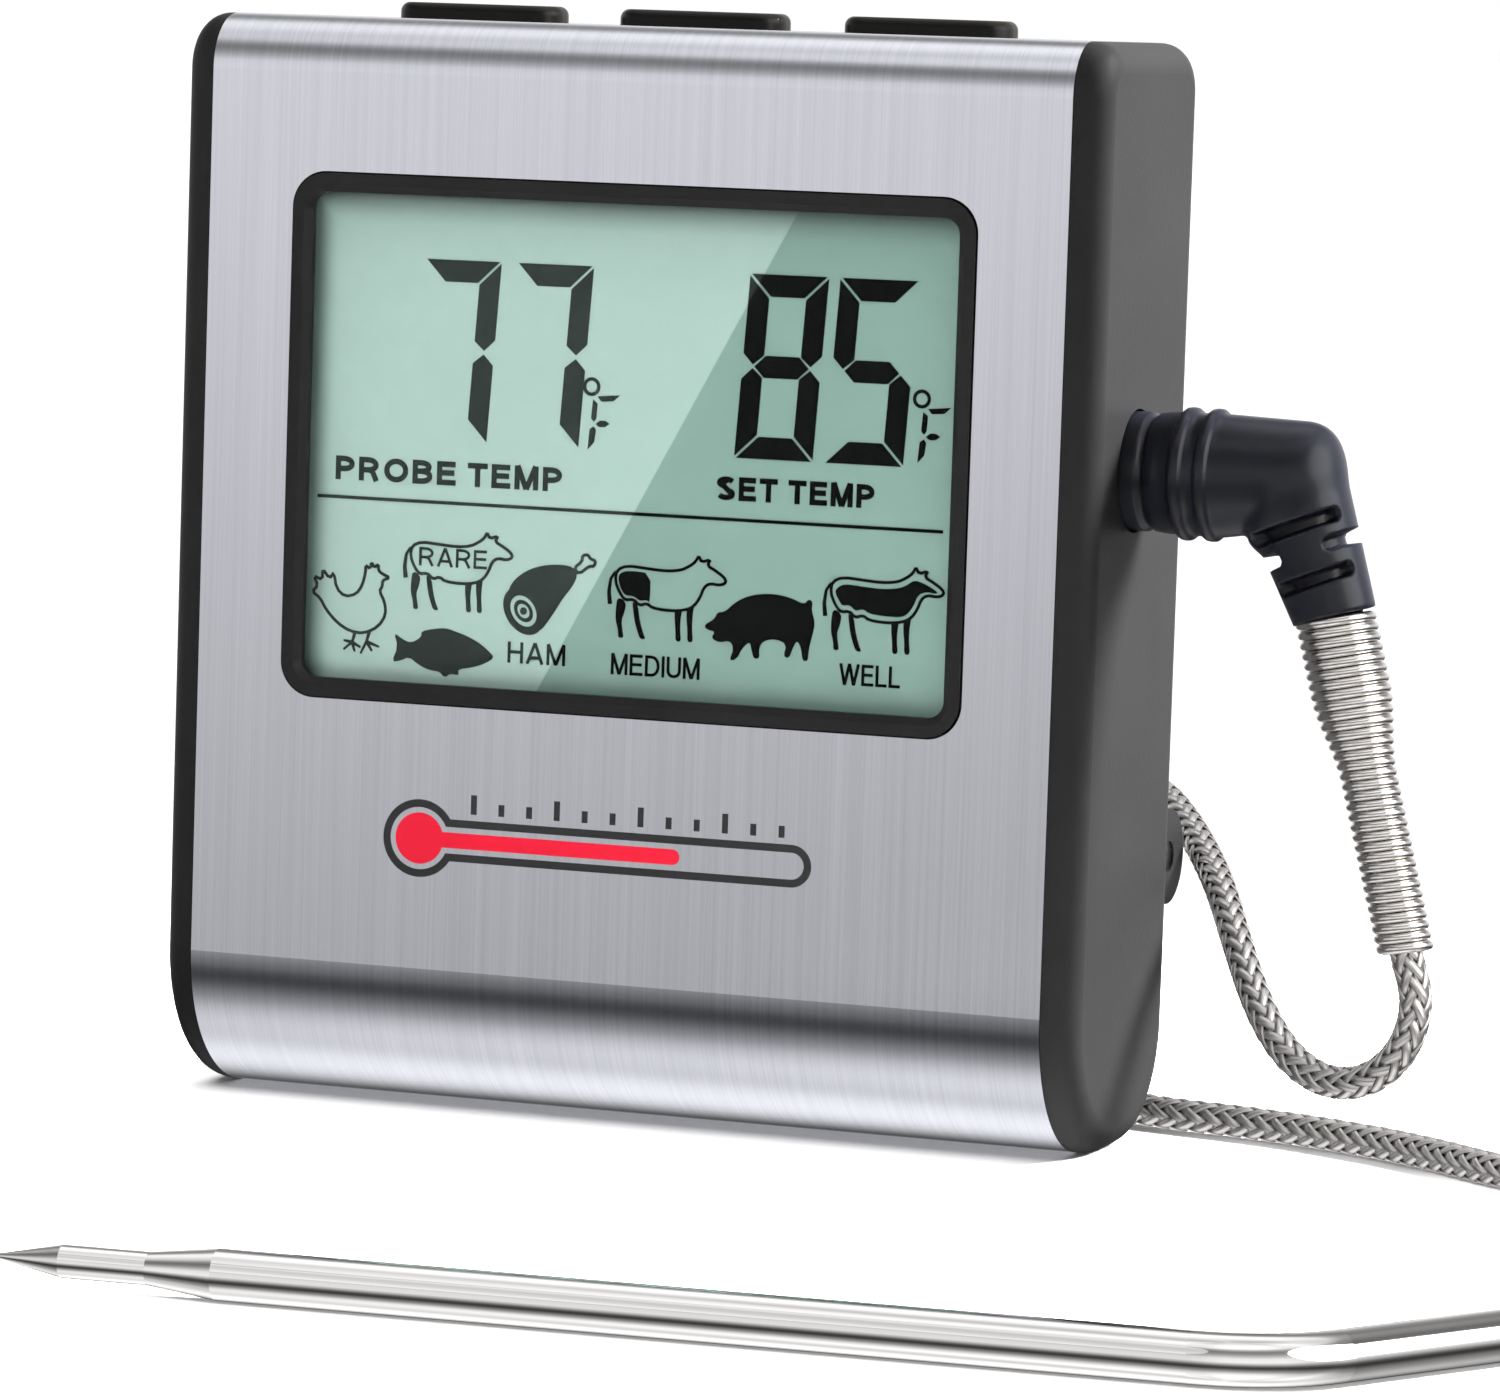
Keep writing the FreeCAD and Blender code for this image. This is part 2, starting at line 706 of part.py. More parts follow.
def make_window_bezel():
    body = new_body("window_bezel")
    rear = "(bezel_depth - bezel_proud - case_depth / 2)"
    ring = new_sketch(body, "XZ_Plane", f"-{rear}")
    rounded_outline(ring, "0", "window_centre_z", "window_width", "window_height", "window_corner")
    pad(body, ring, "bezel_depth")
    inside = new_sketch(body, "XZ_Plane", f"-{rear}")
    rounded_outline(inside, "0", "window_centre_z", "window_width - 2 * bezel_ring",
                    "window_height - 2 * bezel_ring", "(window_corner - bezel_ring)")
    through = pocket(body, inside, "3 * bezel_depth", both_ways=True)
    front_y = value("-case_depth / 2 - bezel_proud")
    half_x = value("window_width / 2 - bezel_ring") + 0.01
    half_z = value("window_height / 2 - bezel_ring") + 0.01
    middle = value("window_centre_z")
    names = [
        f"Edge{number}"
        for number, edge in enumerate(through.Shape.Edges, start=1)
        if all(abs(vertex.Y - front_y) < 1e-4 and abs(vertex.X) < half_x and abs(vertex.Z - middle) < half_z
               for vertex in edge.Vertexes)
    ]
    slope = body.newObject("PartDesign::Chamfer", "window_bezel_slope")
    slope.Base = (through, names)
    slope.setExpression("Size", sized("bezel_slope"))
    document.recompute()
    seat = new_sketch(body, "XZ_Plane", f"-{rear}")
    rounded_outline(seat, "0", "window_centre_z", "window_width - 2 * bezel_ring + 2 * lens_overlap",
                    "window_height - 2 * bezel_ring + 2 * lens_overlap",
                    "(window_corner - bezel_ring + lens_overlap)")
    pocket(body, seat, "2 * lens_thickness", both_ways=True)


def make_display_lens():
    body = new_body("display_lens")
    rear = "(bezel_depth - bezel_proud - case_depth / 2)"
    pane = new_sketch(body, "XZ_Plane", f"-{rear}")
    rounded_outline(pane, "0", "window_centre_z",
                    "window_width - 2 * bezel_ring + 2 * lens_overlap - 2 * part_gap",
                    "window_height - 2 * bezel_ring + 2 * lens_overlap - 2 * part_gap",
                    "(window_corner - bezel_ring + lens_overlap - part_gap)")
    pad(body, pane, "lens_thickness")


def make_display():
    lcd_front = f"(-case_depth / 2 + {CHASSIS_INNER} + part_gap)"
    lcd_rear = f"({lcd_front} + lcd_thickness)"
    glass = box("lcd_glass", "-lcd_width / 2", lcd_front, "window_centre_z - lcd_height / 2",
                "lcd_width", "lcd_thickness", "lcd_height")
    keep("lcd_glass", glass)
    reflector = box("lcd_reflector", "-lcd_width / 2 + 1", f"{lcd_rear}",
                    "window_centre_z - reflector_height / 2", "lcd_width - 2", "reflector_thickness",
                    "reflector_height")
    keep("lcd_reflector", reflector)
    strips = []
    for name, centre in (("lower", "window_centre_z - reflector_height / 2 - contact_strip_height"),
                         ("upper", "window_centre_z + reflector_height / 2 + contact_strip_height")):
        strips.append(box(f"contact_strip_{name}", "-board_width / 2 + 1", lcd_rear,
                          f"{centre} - contact_strip_height / 2", "board_width - 2",
                          f"board_front - {lcd_rear}", "contact_strip_height"))
    group("contact_strips", strips)


# ---- electronics -----------------------------------------------------------------------------------

BOARD_REAR = "(board_front + board_thickness)"


def make_board():
    board = box("circuit_board", "-board_width / 2", "board_front", "board_bottom", "board_width",
                "board_thickness", "board_top - board_bottom")
    keep("circuit_board", board)

    chip = new_body("controller_chip")
    dome = new_sketch(chip, "XY_Plane")
    ball = "((chip_radius * chip_radius + chip_rise * chip_rise) / (2 * chip_rise))"
    outline(dome, [("0", "0"), ("chip_radius", "0", ball, "left"), ("0", "chip_rise")])
    revolve(chip, dome, "V_Axis")
    place(chip, "chip_x", BOARD_REAR, "chip_z")

    buzzer = new_body("buzzer")
    side = new_sketch(buzzer, "XY_Plane")
    outline(side, [
        ("buzzer_hole_radius", "0"),
        ("buzzer_radius", "0"),
        ("buzzer_radius", "buzzer_depth - buzzer_edge_radius", "buzzer_edge_radius", "left"),
        ("buzzer_radius - buzzer_edge_radius", "buzzer_depth"),
        ("buzzer_hole_radius", "buzzer_depth"),
    ])
    revolve(buzzer, side, "V_Axis")
    place(buzzer, "buzzer_x", BOARD_REAR, "buzzer_z")


def make_key_switches():
    switches = []
    for name, centre in KEY_PLACES.items():
        housing = box(f"{name}_switch_block", f"{centre} - switch_width / 2", BOARD_REAR, "switch_bottom",
                      "switch_width", f"switch_rear - {BOARD_REAR}", "switch_top - switch_bottom")
        well = document.addObject("Part::Cylinder", f"{name}_switch_well")
        bind(well, Radius="plunger_radius + running_gap", Height="switch_top - switch_well + 1")
        place(well, centre, "key_centre_y", "switch_well")
        switch = document.addObject("Part::Cut", f"{name}_switch")
        switch.Base = housing
        switch.Tool = well
        switches.append(switch)
    group("key_switches", switches)


def make_jack():
    body = new_body("probe_jack")
    block = new_sketch(body, "YZ_Plane", "jack_start")
    plain_outline(block, "jack_y - jack_size / 2", "jack_y + jack_size / 2", "jack_z - jack_size / 2",
                  "jack_z + jack_size / 2")
    pad(body, block, "jack_end - jack_start")
    bore = new_sketch(body, "YZ_Plane", "jack_start")
    circle_outline(bore, "jack_y", "jack_z", "plug_radius + running_gap")
    pocket(body, bore, "4 * jack_end", both_ways=True)
    terminals = []
    for number in range(3):
        terminals.append(box(f"jack_terminal_{number + 1}",
                             f"jack_start + terminal_first + {number} * terminal_pitch", BOARD_REAR,
                             "jack_z - jack_size / 2 - terminal_drop", "terminal_width",
                             "terminal_thickness", "terminal_drop"))
    group("jack_terminals", terminals)


# ---- battery ---------------------------------------------------------------------------------------

def make_battery():
    low = "battery_centre_z - bay_height / 2"
    outside = box("bay_block", "bay_start - bay_wall", "bay_front - bay_wall", f"{low} - bay_wall",
                  "bay_end - bay_start + 2 * bay_wall", "bay_rear - bay_front + bay_wall",
                  "bay_height + 2 * bay_wall")
    inside = box("bay_room", "bay_start", "bay_front", low, "bay_end - bay_start",
                 "bay_rear - bay_front + 1", "bay_height")
    difference("battery_tray", outside, inside)

    battery = new_body("battery")
    side = new_sketch(battery, "XY_Plane")
    shoulder = "(battery_length - battery_shoulder)"
    outline(side, [
        ("0", "0"),
        ("battery_length + battery_nub_length", "0"),
        ("battery_length + battery_nub_length", "battery_nub_radius"),
        ("battery_length", "battery_nub_radius"),
        ("battery_length", "battery_radius - battery_shoulder", "battery_shoulder", "left"),
        (shoulder, "battery_radius"),
        ("battery_base_radius", "battery_radius", "battery_base_radius", "left"),
        ("0", "battery_radius - battery_base_radius"),
    ])
    revolve(battery, side)
    place(battery, "battery_start", "battery_centre_y", "battery_centre_z")

    plates = [
        box(name, x, "battery_centre_y - contact_half_size", "battery_centre_z - contact_half_size",
            "contact_plate", "2 * contact_half_size", "2 * contact_half_size")
        for name, x in (("positive_contact", "bay_end - contact_plate"), ("spring_plate", "bay_start"))
    ]
    keep("positive_contact", plates[0])

    rings = [plates[1]]
    for number in range(5):
        ring = document.addObject("Part::Torus", f"spring_ring_{number + 1}")
        bind(ring, Radius1=f"contact_ring_radius - {number} * contact_ring_shrink", Radius2="contact_wire")
        ring.Placement = FreeCAD.Placement(Vector(), FreeCAD.Rotation(Vector(0, 1, 0), 90))
        place(ring, f"bay_start + contact_plate + contact_ring_start + {number} * contact_ring_pitch",
              "battery_centre_y", "battery_centre_z")
        rings.append(ring)
    spring = document.addObject("Part::MultiFuse", "negative_contact")
    spring.Shapes = rings
    keep("negative_contact", spring)


def make_battery_door():
    body = new_body("battery_door")
    side = new_sketch(body, "YZ_Plane", "door_left")
    outline(side, [
        ("door_axis_y + rear_wall / 2", "door_axis_z"),
        ("door_axis_y + rear_wall / 2", "door_axis_z + door_height"),
        ("door_axis_y - rear_wall / 2", "door_axis_z + door_height"),
        ("door_axis_y - rear_wall / 2", "door_axis_z", "rear_wall / 2", "left"),
        ("door_axis_y", "door_axis_z - rear_wall / 2", "rear_wall / 2", "left"),
    ])
    pad(body, side, "door_right - door_left")
    pins = new_sketch(body, "YZ_Plane", "door_left - door_pin_length")
    circle_outline(pins, "door_axis_y", "door_axis_z", "door_pin_radius")
    pad(body, pins, "door_right - door_left + 2 * door_pin_length")
    grip = new_sketch(body, "XZ_Plane", "-(door_axis_y + rear_wall / 2)")
    for step in range(4):
        centre = f"(door_axis_z + door_height - grip_first - {step} * grip_pitch)"
        plain_outline(grip, "grip_left", "grip_right", f"{centre} - grip_half_height",
                      f"{centre} + grip_half_height")
    pocket(body, grip, "2 * grip_depth", both_ways=True)


# ---- keys ------------------------------------------------------------------------------------------

def make_key(name, centre):
    body = new_body(f"{name}_key")
    cap = new_sketch(body, "XY_Plane", "key_flange_top")
    rounded_outline(cap, "0", "0", "key_width", "key_depth", "key_corner")
    cap_pad = pad(body, cap, "case_height + key_proud - key_flange_top")
    top = value("case_height + key_proud")
    round_edges(body, cap_pad, "key_edge_radius", lambda point: abs(point.z - top) < 1e-4)
    flange = new_sketch(body, "XY_Plane", "key_flange_top - key_flange_thickness")
    rounded_outline(flange, "0", "0", "key_width + 2 * key_flange", "key_depth + 2 * key_flange",
                    "key_corner")
    pad(body, flange, "key_flange_thickness")
    stem = new_sketch(body, "XY_Plane", "plunger_top")
    circle_outline(stem, "0", "0", "key_stem_radius")
    pad(body, stem, "key_flange_top - key_flange_thickness - plunger_top")
    place(body, centre, "key_centre_y")

    plunger = document.addObject("Part::Cylinder", f"{name}_plunger")
    bind(plunger, Radius="plunger_radius", Height="plunger_top - plunger_bottom")
    place(plunger, centre, "key_centre_y", "plunger_bottom")
    keep(f"{name}_plunger", plunger)


# ---- stand -----------------------------------------------------------------------------------------

def make_stand():
    body = new_body("stand_leg")
    barrel = new_sketch(body, "YZ_Plane", "-(ear_inner_x - hinge_side_gap)")
    circle_outline(barrel, "hinge_y", "hinge_z", "barrel_radius")
    pad(body, barrel, "2 * (ear_inner_x - hinge_side_gap)")
    leg = new_sketch(body, "XZ_Plane", "-(leg_front + leg_thickness)")
    outline(leg, [
        ("-leg_half_width", "hinge_z"),
        ("leg_half_width", "hinge_z"),
        ("leg_half_width", "hinge_z + leg_shoulder"),
        ("leg_tip_half_width", "leg_top"),
        ("-leg_tip_half_width", "leg_top"),
        ("-leg_half_width", "hinge_z + leg_shoulder"),
    ])
    pad(body, leg, "leg_thickness")
    cups = new_sketch(body, "XZ_Plane", "-magnet_face + magnet_cup_lip")
    wells = new_sketch(body, "XZ_Plane", "-magnet_face + magnet_cup_lip")
    for x in ("-magnet_x", "magnet_x"):
        circle_outline(cups, x, "magnet_z", "magnet_radius + magnet_cup_wall")
        circle_outline(wells, x, "magnet_z", "magnet_radius")
    pad(body, cups, "magnet_face - leg_front - leg_thickness + magnet_cup_root")
    pocket(body, wells, "2 * (magnet_thickness - magnet_cup_lip)", both_ways=True)
    bore = new_sketch(body, "YZ_Plane")
    circle_outline(bore, "hinge_y", "hinge_z", "hinge_pin_radius + running_gap")
    pocket(body, bore, "4 * ear_outer_x", both_ways=True)

    foot = new_body("stand_foot")
    strip = new_sketch(foot, "XY_Plane", "leg_top")
    rounded_outline(strip, "0", "leg_front + leg_thickness / 2", "2 * (leg_tip_half_width - foot_corner)",
                    "leg_thickness - hinge_side_gap", "foot_corner")
    pad(foot, strip, "foot_thickness")

    pins, magnets = [], []
    for side, start in (("left", "-(ear_outer_x - hinge_side_gap)"),
                        ("right", "(ear_outer_x - hinge_side_gap - hinge_pin_length)")):
        pin = document.addObject("Part::Cylinder", f"{side}_hinge_pin")
        bind(pin, Radius="hinge_pin_radius", Height="hinge_pin_length")
        pin.Placement = FreeCAD.Placement(Vector(), FreeCAD.Rotation(Vector(0, 1, 0), 90))
        place(pin, start, "hinge_y", "hinge_z")
        pins.append(pin)
    group("hinge_pins", pins)
    for side, x in (("left", "-magnet_x"), ("right", "magnet_x")):
        magnet = document.addObject("Part::Cylinder", f"{side}_magnet")
        bind(magnet, Radius="magnet_radius", Height="magnet_thickness")
        magnet.Placement = FreeCAD.Placement(Vector(), FreeCAD.Rotation(Vector(1, 0, 0), -90))
        place(magnet, x, "magnet_face - magnet_thickness", "magnet_z")
        magnets.append(magnet)
    group("magnets", magnets)


# ---- plug and strain relief ------------------------------------------------------------------------

ELBOW_X = "(plug_start + boot_reach)"
ARM_END_X = f"({ELBOW_X} + arm_length * sin(arm_angle))"
ARM_END_Z = "(jack_z - arm_length * cos(arm_angle))"


def down_placement(angle):
    """A rotation that points a local X axis down and outward, by an angle from straight down."""
    return FreeCAD.Rotation(Vector(0, 1, 0), 90 - angle)


def spring_point(distance):
    """A point of the spring's axis, at a distance from the end of the boot's arm."""
    angle = math.radians(value("spring_angle"))
    return Vector(
        value(ARM_END_X) + distance * math.sin(angle),
        value("jack_y"),
        value(ARM_END_Z) - distance * math.cos(angle),
    )


def make_plug():
    pin = new_body("plug_pin")
    side = new_sketch(pin, "XY_Plane")
    outline(side, [
        ("0", "0"),
        ("0", "plug_radius"),
        ("-plug_notch_start", "plug_radius"),
        ("-plug_notch_start", "plug_radius - plug_notch_depth * 2 / 3"),
        ("-plug_notch_bottom", "plug_radius - plug_notch_depth"),
        ("-plug_notch_end", "plug_radius"),
        ("-plug_length", "plug_tip_radius"),
        ("-plug_length", "0"),
    ])
    revolve(pin, side)
    place(pin, "plug_start", "jack_y", "jack_z")

    boot = new_body("plug_boot")
    barrel = new_sketch(boot, "XY_Plane")
    profile = [
        ("0", "0"),
        ("0", "boot_nose_radius - boot_nose_bevel"),
        ("boot_nose_bevel", "boot_nose_radius"),
        ("boot_groove_start", "boot_nose_radius"),
        ("boot_groove_start", "boot_nose_radius - boot_groove_depth"),
        ("boot_groove_end", "boot_nose_radius - boot_groove_depth"),
        ("boot_groove_end", "boot_radius"),
    ]
    for ring in ("boot_first_ring", "boot_second_ring"):
        profile += [
            (ring, "boot_radius"),
            (f"{ring} + boot_ring_slope", "boot_ring_radius"),
            (f"{ring} + boot_ring_width - boot_ring_slope", "boot_ring_radius"),
            (f"{ring} + boot_ring_width", "boot_radius"),
        ]
    profile += [("boot_reach", "boot_radius"), ("boot_reach", "0")]
    outline(barrel, profile)
    revolve(boot, barrel)
    elbow = boot.newObject("PartDesign::AdditiveSphere", "plug_boot_elbow")
    elbow.setExpression("Radius", sized("boot_radius"))
    elbow.setExpression("Placement.Base.x", sized("boot_reach"))
    document.recompute()
    # the cone and the cylinder grow along their own Z axis, turned to point down and outward
    arm = boot.newObject("PartDesign::AdditiveCone", "plug_boot_arm")
    arm.Placement = FreeCAD.Placement(Vector(), FreeCAD.Rotation(Vector(0, 1, 0), 180 - value("arm_angle")))
    bind(arm, Radius1="arm_start_radius", Radius2="arm_end_radius", Height="arm_length")
    arm.setExpression("Placement.Base.x", sized("boot_reach"))
    document.recompute()
    nipple = boot.newObject("PartDesign::AdditiveCylinder", "plug_boot_nipple")
    turn = FreeCAD.Rotation(Vector(0, 1, 0), 180 - value("spring_angle"))
    nipple.Placement = FreeCAD.Placement(Vector(), turn)
    bind(nipple, Radius="nipple_radius", Height="nipple_length + spring_gap + 1")
    back = "(boot_reach + arm_length * sin(arm_angle) - sin(spring_angle))"
    nipple.setExpression("Placement.Base.x", sized(back))
    nipple.setExpression("Placement.Base.z", sized("-arm_length * cos(arm_angle) + cos(spring_angle)"))
    document.recompute()
    place(boot, "plug_start", "jack_y", "jack_z")


def make_strain_spring():
    """The close-wound spring as one hollow solid of its outer shape, wide where it grips the boot."""
    body = new_body("strain_spring")
    body.Placement = FreeCAD.Placement(spring_point(value("spring_gap")),
                                       down_placement(value("spring_angle")))
    side = new_sketch(body, "XY_Plane")
    outline(side, [
        ("0", "spring_top_radius - spring_wire"),
        ("spring_wide_length", "spring_top_radius - spring_wire"),
        ("spring_taper_end", "spring_radius - spring_wire"),
        ("spring_length", "spring_radius - spring_wire"),
        ("spring_length", "spring_radius"),
        ("spring_taper_end", "spring_radius"),
        ("spring_wide_length", "spring_top_radius"),
        ("0", "spring_top_radius"),
    ])
    revolve(body, side)

    core = new_body("cable_core")
    core.Placement = FreeCAD.Placement(spring_point(value("spring_gap + nipple_length")),
                                       down_placement(value("spring_angle")))
    disc = new_sketch(core, "YZ_Plane")
    circle_outline(disc, "0", "0", "cable_radius")
    pad(core, disc, "spring_length - nipple_length")


# ---- cable -----------------------------------------------------------------------------------------

def rounded_path(points):
    """Straight runs joined by tangent arcs, each arc as large as its two runs allow."""
    edges, radii, start = [], [], points[0]
    for before, corner, after in zip(points, points[1:], points[2:]):
        inward = (before - corner).normalize()
        outward = (after - corner).normalize()
        turn = math.pi - inward.getAngle(outward)
        reach = 0.45 * min((before - corner).Length, (after - corner).Length)
        radius = reach / math.tan(turn / 2)
        first = corner + inward * reach
        last = corner + outward * reach
        bisector = (inward + outward).normalize()
        middle = corner + bisector * (radius / math.cos(turn / 2) - radius)
        edges.append(Part.LineSegment(start, first).toShape())
        edges.append(Part.Arc(first, middle, last).toShape())
        radii.append(radius)
        start = last
    edges.append(Part.LineSegment(start, points[-1]).toShape())
    return Part.Wire(edges), radii


def make_tube(label, points, radius):
    """A round tube along a route; prints its bends and its volume against section times length."""
    path, radii = rounded_path(points)
    direction = (points[1] - points[0]).normalize()
    section = Part.Wire(Part.Circle(points[0], direction, radius).toShape())
    solid = path.makePipeShell([section], True, False)
    expected = math.pi * radius ** 2 * path.Length
    print(f"{label}: length {path.Length:.1f}, least bend {min(radii):.1f}, "
          f"volume {solid.Volume:.1f} of {expected:.1f}")
    print("  bends", [round(bend, 1) for bend in radii])
    tube = document.addObject("Part::Feature", label)
    tube.Shape = solid
    tube.Placement = FreeCAD.Placement()
    keep(label, tube)
    return path.Length


def probe_point(along, side_turn=0.0):
    """A point of the probe's axis: along the straight shaft, then side_turn along its bent arm."""
    angle = math.radians(value("probe_angle"))
    arm = math.radians(value("probe_angle + probe_bend_turn"))
    return Vector(
        value("probe_tip_x") + along * math.cos(angle) + side_turn * math.cos(arm),
        value("probe_tip_y") + along * math.sin(angle) + side_turn * math.sin(arm),
        value("probe_radius"),
    )


def make_cable():
    radius = value("cable_radius")
    start = spring_point(value("spring_gap + spring_length"))
    run = make_tube("cable_run", [start] + [Vector(*point) for point in CABLE_RUN], radius)

    coil = new_body("cable_coil")
    ring = new_sketch(coil, "XZ_Plane")
    rounded_outline(ring, "coil_mean_radius", "coil_height / 2", "coil_width", "coil_height",
                    "coil_edge_radius")
    revolve(coil, ring, "V_Axis")
    place(coil, "coil_x", "coil_y", "coil_lift")

    crimp_end = probe_point(value("probe_straight"), value("probe_arm + crimp_length"))
    tail_points = [Vector(*point) for point in CABLE_TAIL] + [crimp_end]
    tail = make_tube("cable_tail", tail_points, radius)
    turns = (value("cable_length") - run - tail) / (2 * math.pi * value("coil_mean_radius"))
    print(f"cable run {run:.1f}, tail {tail:.1f}, coil turns for a 1 m cable {turns:.2f}")

    tie = new_body("cable_tie")
    band = new_sketch(tie, "XZ_Plane", "-tie_width / 2")
    margin = "(tie_thickness + tie_gap)"
    rounded_outline(band, "coil_mean_radius", "coil_height / 2", f"coil_width + 2 * {margin}",
                    f"coil_height + 2 * {margin}", "(coil_edge_radius + tie_thickness)")
    pad(tie, band, "tie_width")
    hollow = new_sketch(tie, "XZ_Plane")
    rounded_outline(hollow, "coil_mean_radius", "coil_height / 2", "coil_width + 2 * tie_side_gap",
                    "coil_height + 2 * tie_gap",
                    "coil_edge_radius")
    pocket(tie, hollow, "3 * tie_width", both_ways=True)
    tie.Placement = FreeCAD.Placement(Vector(), FreeCAD.Rotation(Vector(0, 0, 1), value("tie_bearing")))
    place(tie, "coil_x", "coil_y", "coil_lift")


# ---- probe -----------------------------------------------------------------------------------------

def make_probe():
    along_shaft = FreeCAD.Rotation(Vector(0, 0, 1), value("probe_angle"))
    tip = new_body("probe_tip")
    side = new_sketch(tip, "XY_Plane")
    hole = "(thermistor_radius + 0.05)"
    outline(side, [
        ("0", "0"),
        ("probe_point_round", "probe_point_radius"),
        ("probe_point_length", "probe_needle_radius"),
        ("probe_needle_end", "probe_needle_radius"),
        ("probe_flare_end", "probe_radius"),
        ("probe_flare_end + tip_shoulder", "probe_radius"),
        ("probe_flare_end + tip_shoulder", "tip_bore_radius"),
        ("probe_point_length", hole),
        ("probe_point_length", "0"),
    ])
    revolve(tip, side)
    tip.Placement = FreeCAD.Placement(probe_point(0), along_shaft)

    thermistor = new_body("thermistor")
    bead = new_sketch(thermistor, "YZ_Plane", "probe_point_length + 0.1")
    circle_outline(bead, "0", "0", "thermistor_radius")
    pad(thermistor, bead, "thermistor_length")
    thermistor.Placement = FreeCAD.Placement(probe_point(0), along_shaft)

    radius = value("probe_radius")
    bend = value("probe_bend_radius")
    reach = bend * math.tan(math.radians(value("probe_bend_turn") / 2))
    straight = value("probe_straight")
    start = probe_point(value("probe_flare_end + tip_shoulder"))
    first = probe_point(straight - reach)
    last = probe_point(straight, reach)
    end = probe_point(straight, value("probe_arm"))
    corner = probe_point(straight)
    bisector = ((first - corner).normalize() + (last - corner).normalize()).normalize()
    middle = corner + bisector * (math.hypot(bend, reach) - bend)
    path = Part.Wire([
        Part.LineSegment(start, first).toShape(),
        Part.Arc(first, middle, last).toShape(),
        Part.LineSegment(last, end).toShape(),
    ])
    direction = (first - start).normalize()
    bore = value("probe_bore_radius")
    rings = [Part.Wire(Part.Circle(start, direction, size).toShape()) for size in (radius, bore)]
    outside, inside = (path.makePipeShell([ring], True, False) for ring in rings)
    shaft = document.addObject("Part::Feature", "probe_shaft")
    shaft.Shape = outside.cut(inside)
    shaft.Placement = FreeCAD.Placement()
    keep("probe_shaft", shaft)

    crimp = new_body("crimp_ring")
    side = new_sketch(crimp, "XY_Plane")
    outline(side, [
        ("-crimp_insert", "cable_radius"),
        ("crimp_length", "cable_radius"),
        ("crimp_length", "cable_radius + crimp_end_wall"),
        ("crimp_length - 1.5 * crimp_lip", "probe_radius - crimp_lip_depth"),
        ("1.5 * crimp_lip", "probe_radius - crimp_lip_depth"),
        ("crimp_lip", "probe_radius"),
        ("0", "probe_radius"),
        ("0", "probe_bore_radius"),
        ("-crimp_insert", "probe_bore_radius"),
    ])
    revolve(crimp, side)
    along_arm = FreeCAD.Rotation(Vector(0, 0, 1), value("probe_angle + probe_bend_turn"))
    crimp.Placement = FreeCAD.Placement(probe_point(straight, value("probe_arm")), along_arm)


# ---- the whole object ------------------------------------------------------------------------------

make_steel_cover()
make_front_chassis()
make_end_cap("left_end_cap", -1)
make_end_cap("right_end_cap", 1)
make_rear_cover()
make_case_screws()
make_window_bezel()
make_display_lens()
make_display()
make_board()
make_key_switches()
make_jack()
make_battery()
make_battery_door()
for key_name, key_place in KEY_PLACES.items():
    make_key(key_name, key_place)
make_stand()
make_plug()
make_strain_spring()
make_cable()
make_probe()
document.recompute()

for thing in document.Objects:
    if "Invalid" in thing.State or "Error" in thing.State:
        raise RuntimeError(f"{thing.Label} failed: {thing.State}")
os.makedirs("parts", exist_ok=True)
for label, thing in nodes.items():
    if thing.Shape.isNull() or not thing.Shape.isValid():
        raise RuntimeError(f"{label} has no valid shape")
for label, thing in nodes.items():
    thing.Shape.exportStep(f"parts/{label}.step")
print(len(nodes), "nodes written")
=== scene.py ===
import json
import math

import bmesh
import bpy
import numpy as np
from mathutils import Matrix, Vector


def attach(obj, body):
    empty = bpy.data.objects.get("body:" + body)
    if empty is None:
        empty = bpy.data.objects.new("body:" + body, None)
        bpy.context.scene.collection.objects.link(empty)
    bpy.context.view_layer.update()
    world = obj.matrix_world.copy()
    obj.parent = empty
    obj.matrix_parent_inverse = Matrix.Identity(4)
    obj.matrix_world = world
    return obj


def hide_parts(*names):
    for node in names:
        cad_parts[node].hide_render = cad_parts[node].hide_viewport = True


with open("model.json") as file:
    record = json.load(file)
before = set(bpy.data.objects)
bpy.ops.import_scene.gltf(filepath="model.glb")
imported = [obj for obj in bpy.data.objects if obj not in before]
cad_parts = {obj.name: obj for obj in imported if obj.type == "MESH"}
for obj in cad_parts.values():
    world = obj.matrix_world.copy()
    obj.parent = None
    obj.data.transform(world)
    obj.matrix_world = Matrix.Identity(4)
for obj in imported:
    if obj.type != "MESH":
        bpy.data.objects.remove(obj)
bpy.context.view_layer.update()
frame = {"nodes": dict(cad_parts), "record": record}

# Sizes are in millimetres in the row frame: +Z up, -Y the display side, +X the side with the plug.
MM = 0.001

# ---- the camera ----

CAMERA_LENS = 174.78
CAMERA_SENSOR = 36.0
CAMERA_AZIMUTH = math.radians(20.27)
CAMERA_ELEVATION = math.radians(5.39)
CAMERA_ROLL = math.radians(1.88)
CAMERA_DISTANCE = 468.5
CAMERA_AIM = Vector((0, 0, 35))
CAMERA_AIM_RIGHT = 5.07
CAMERA_AIM_UP = -7.94


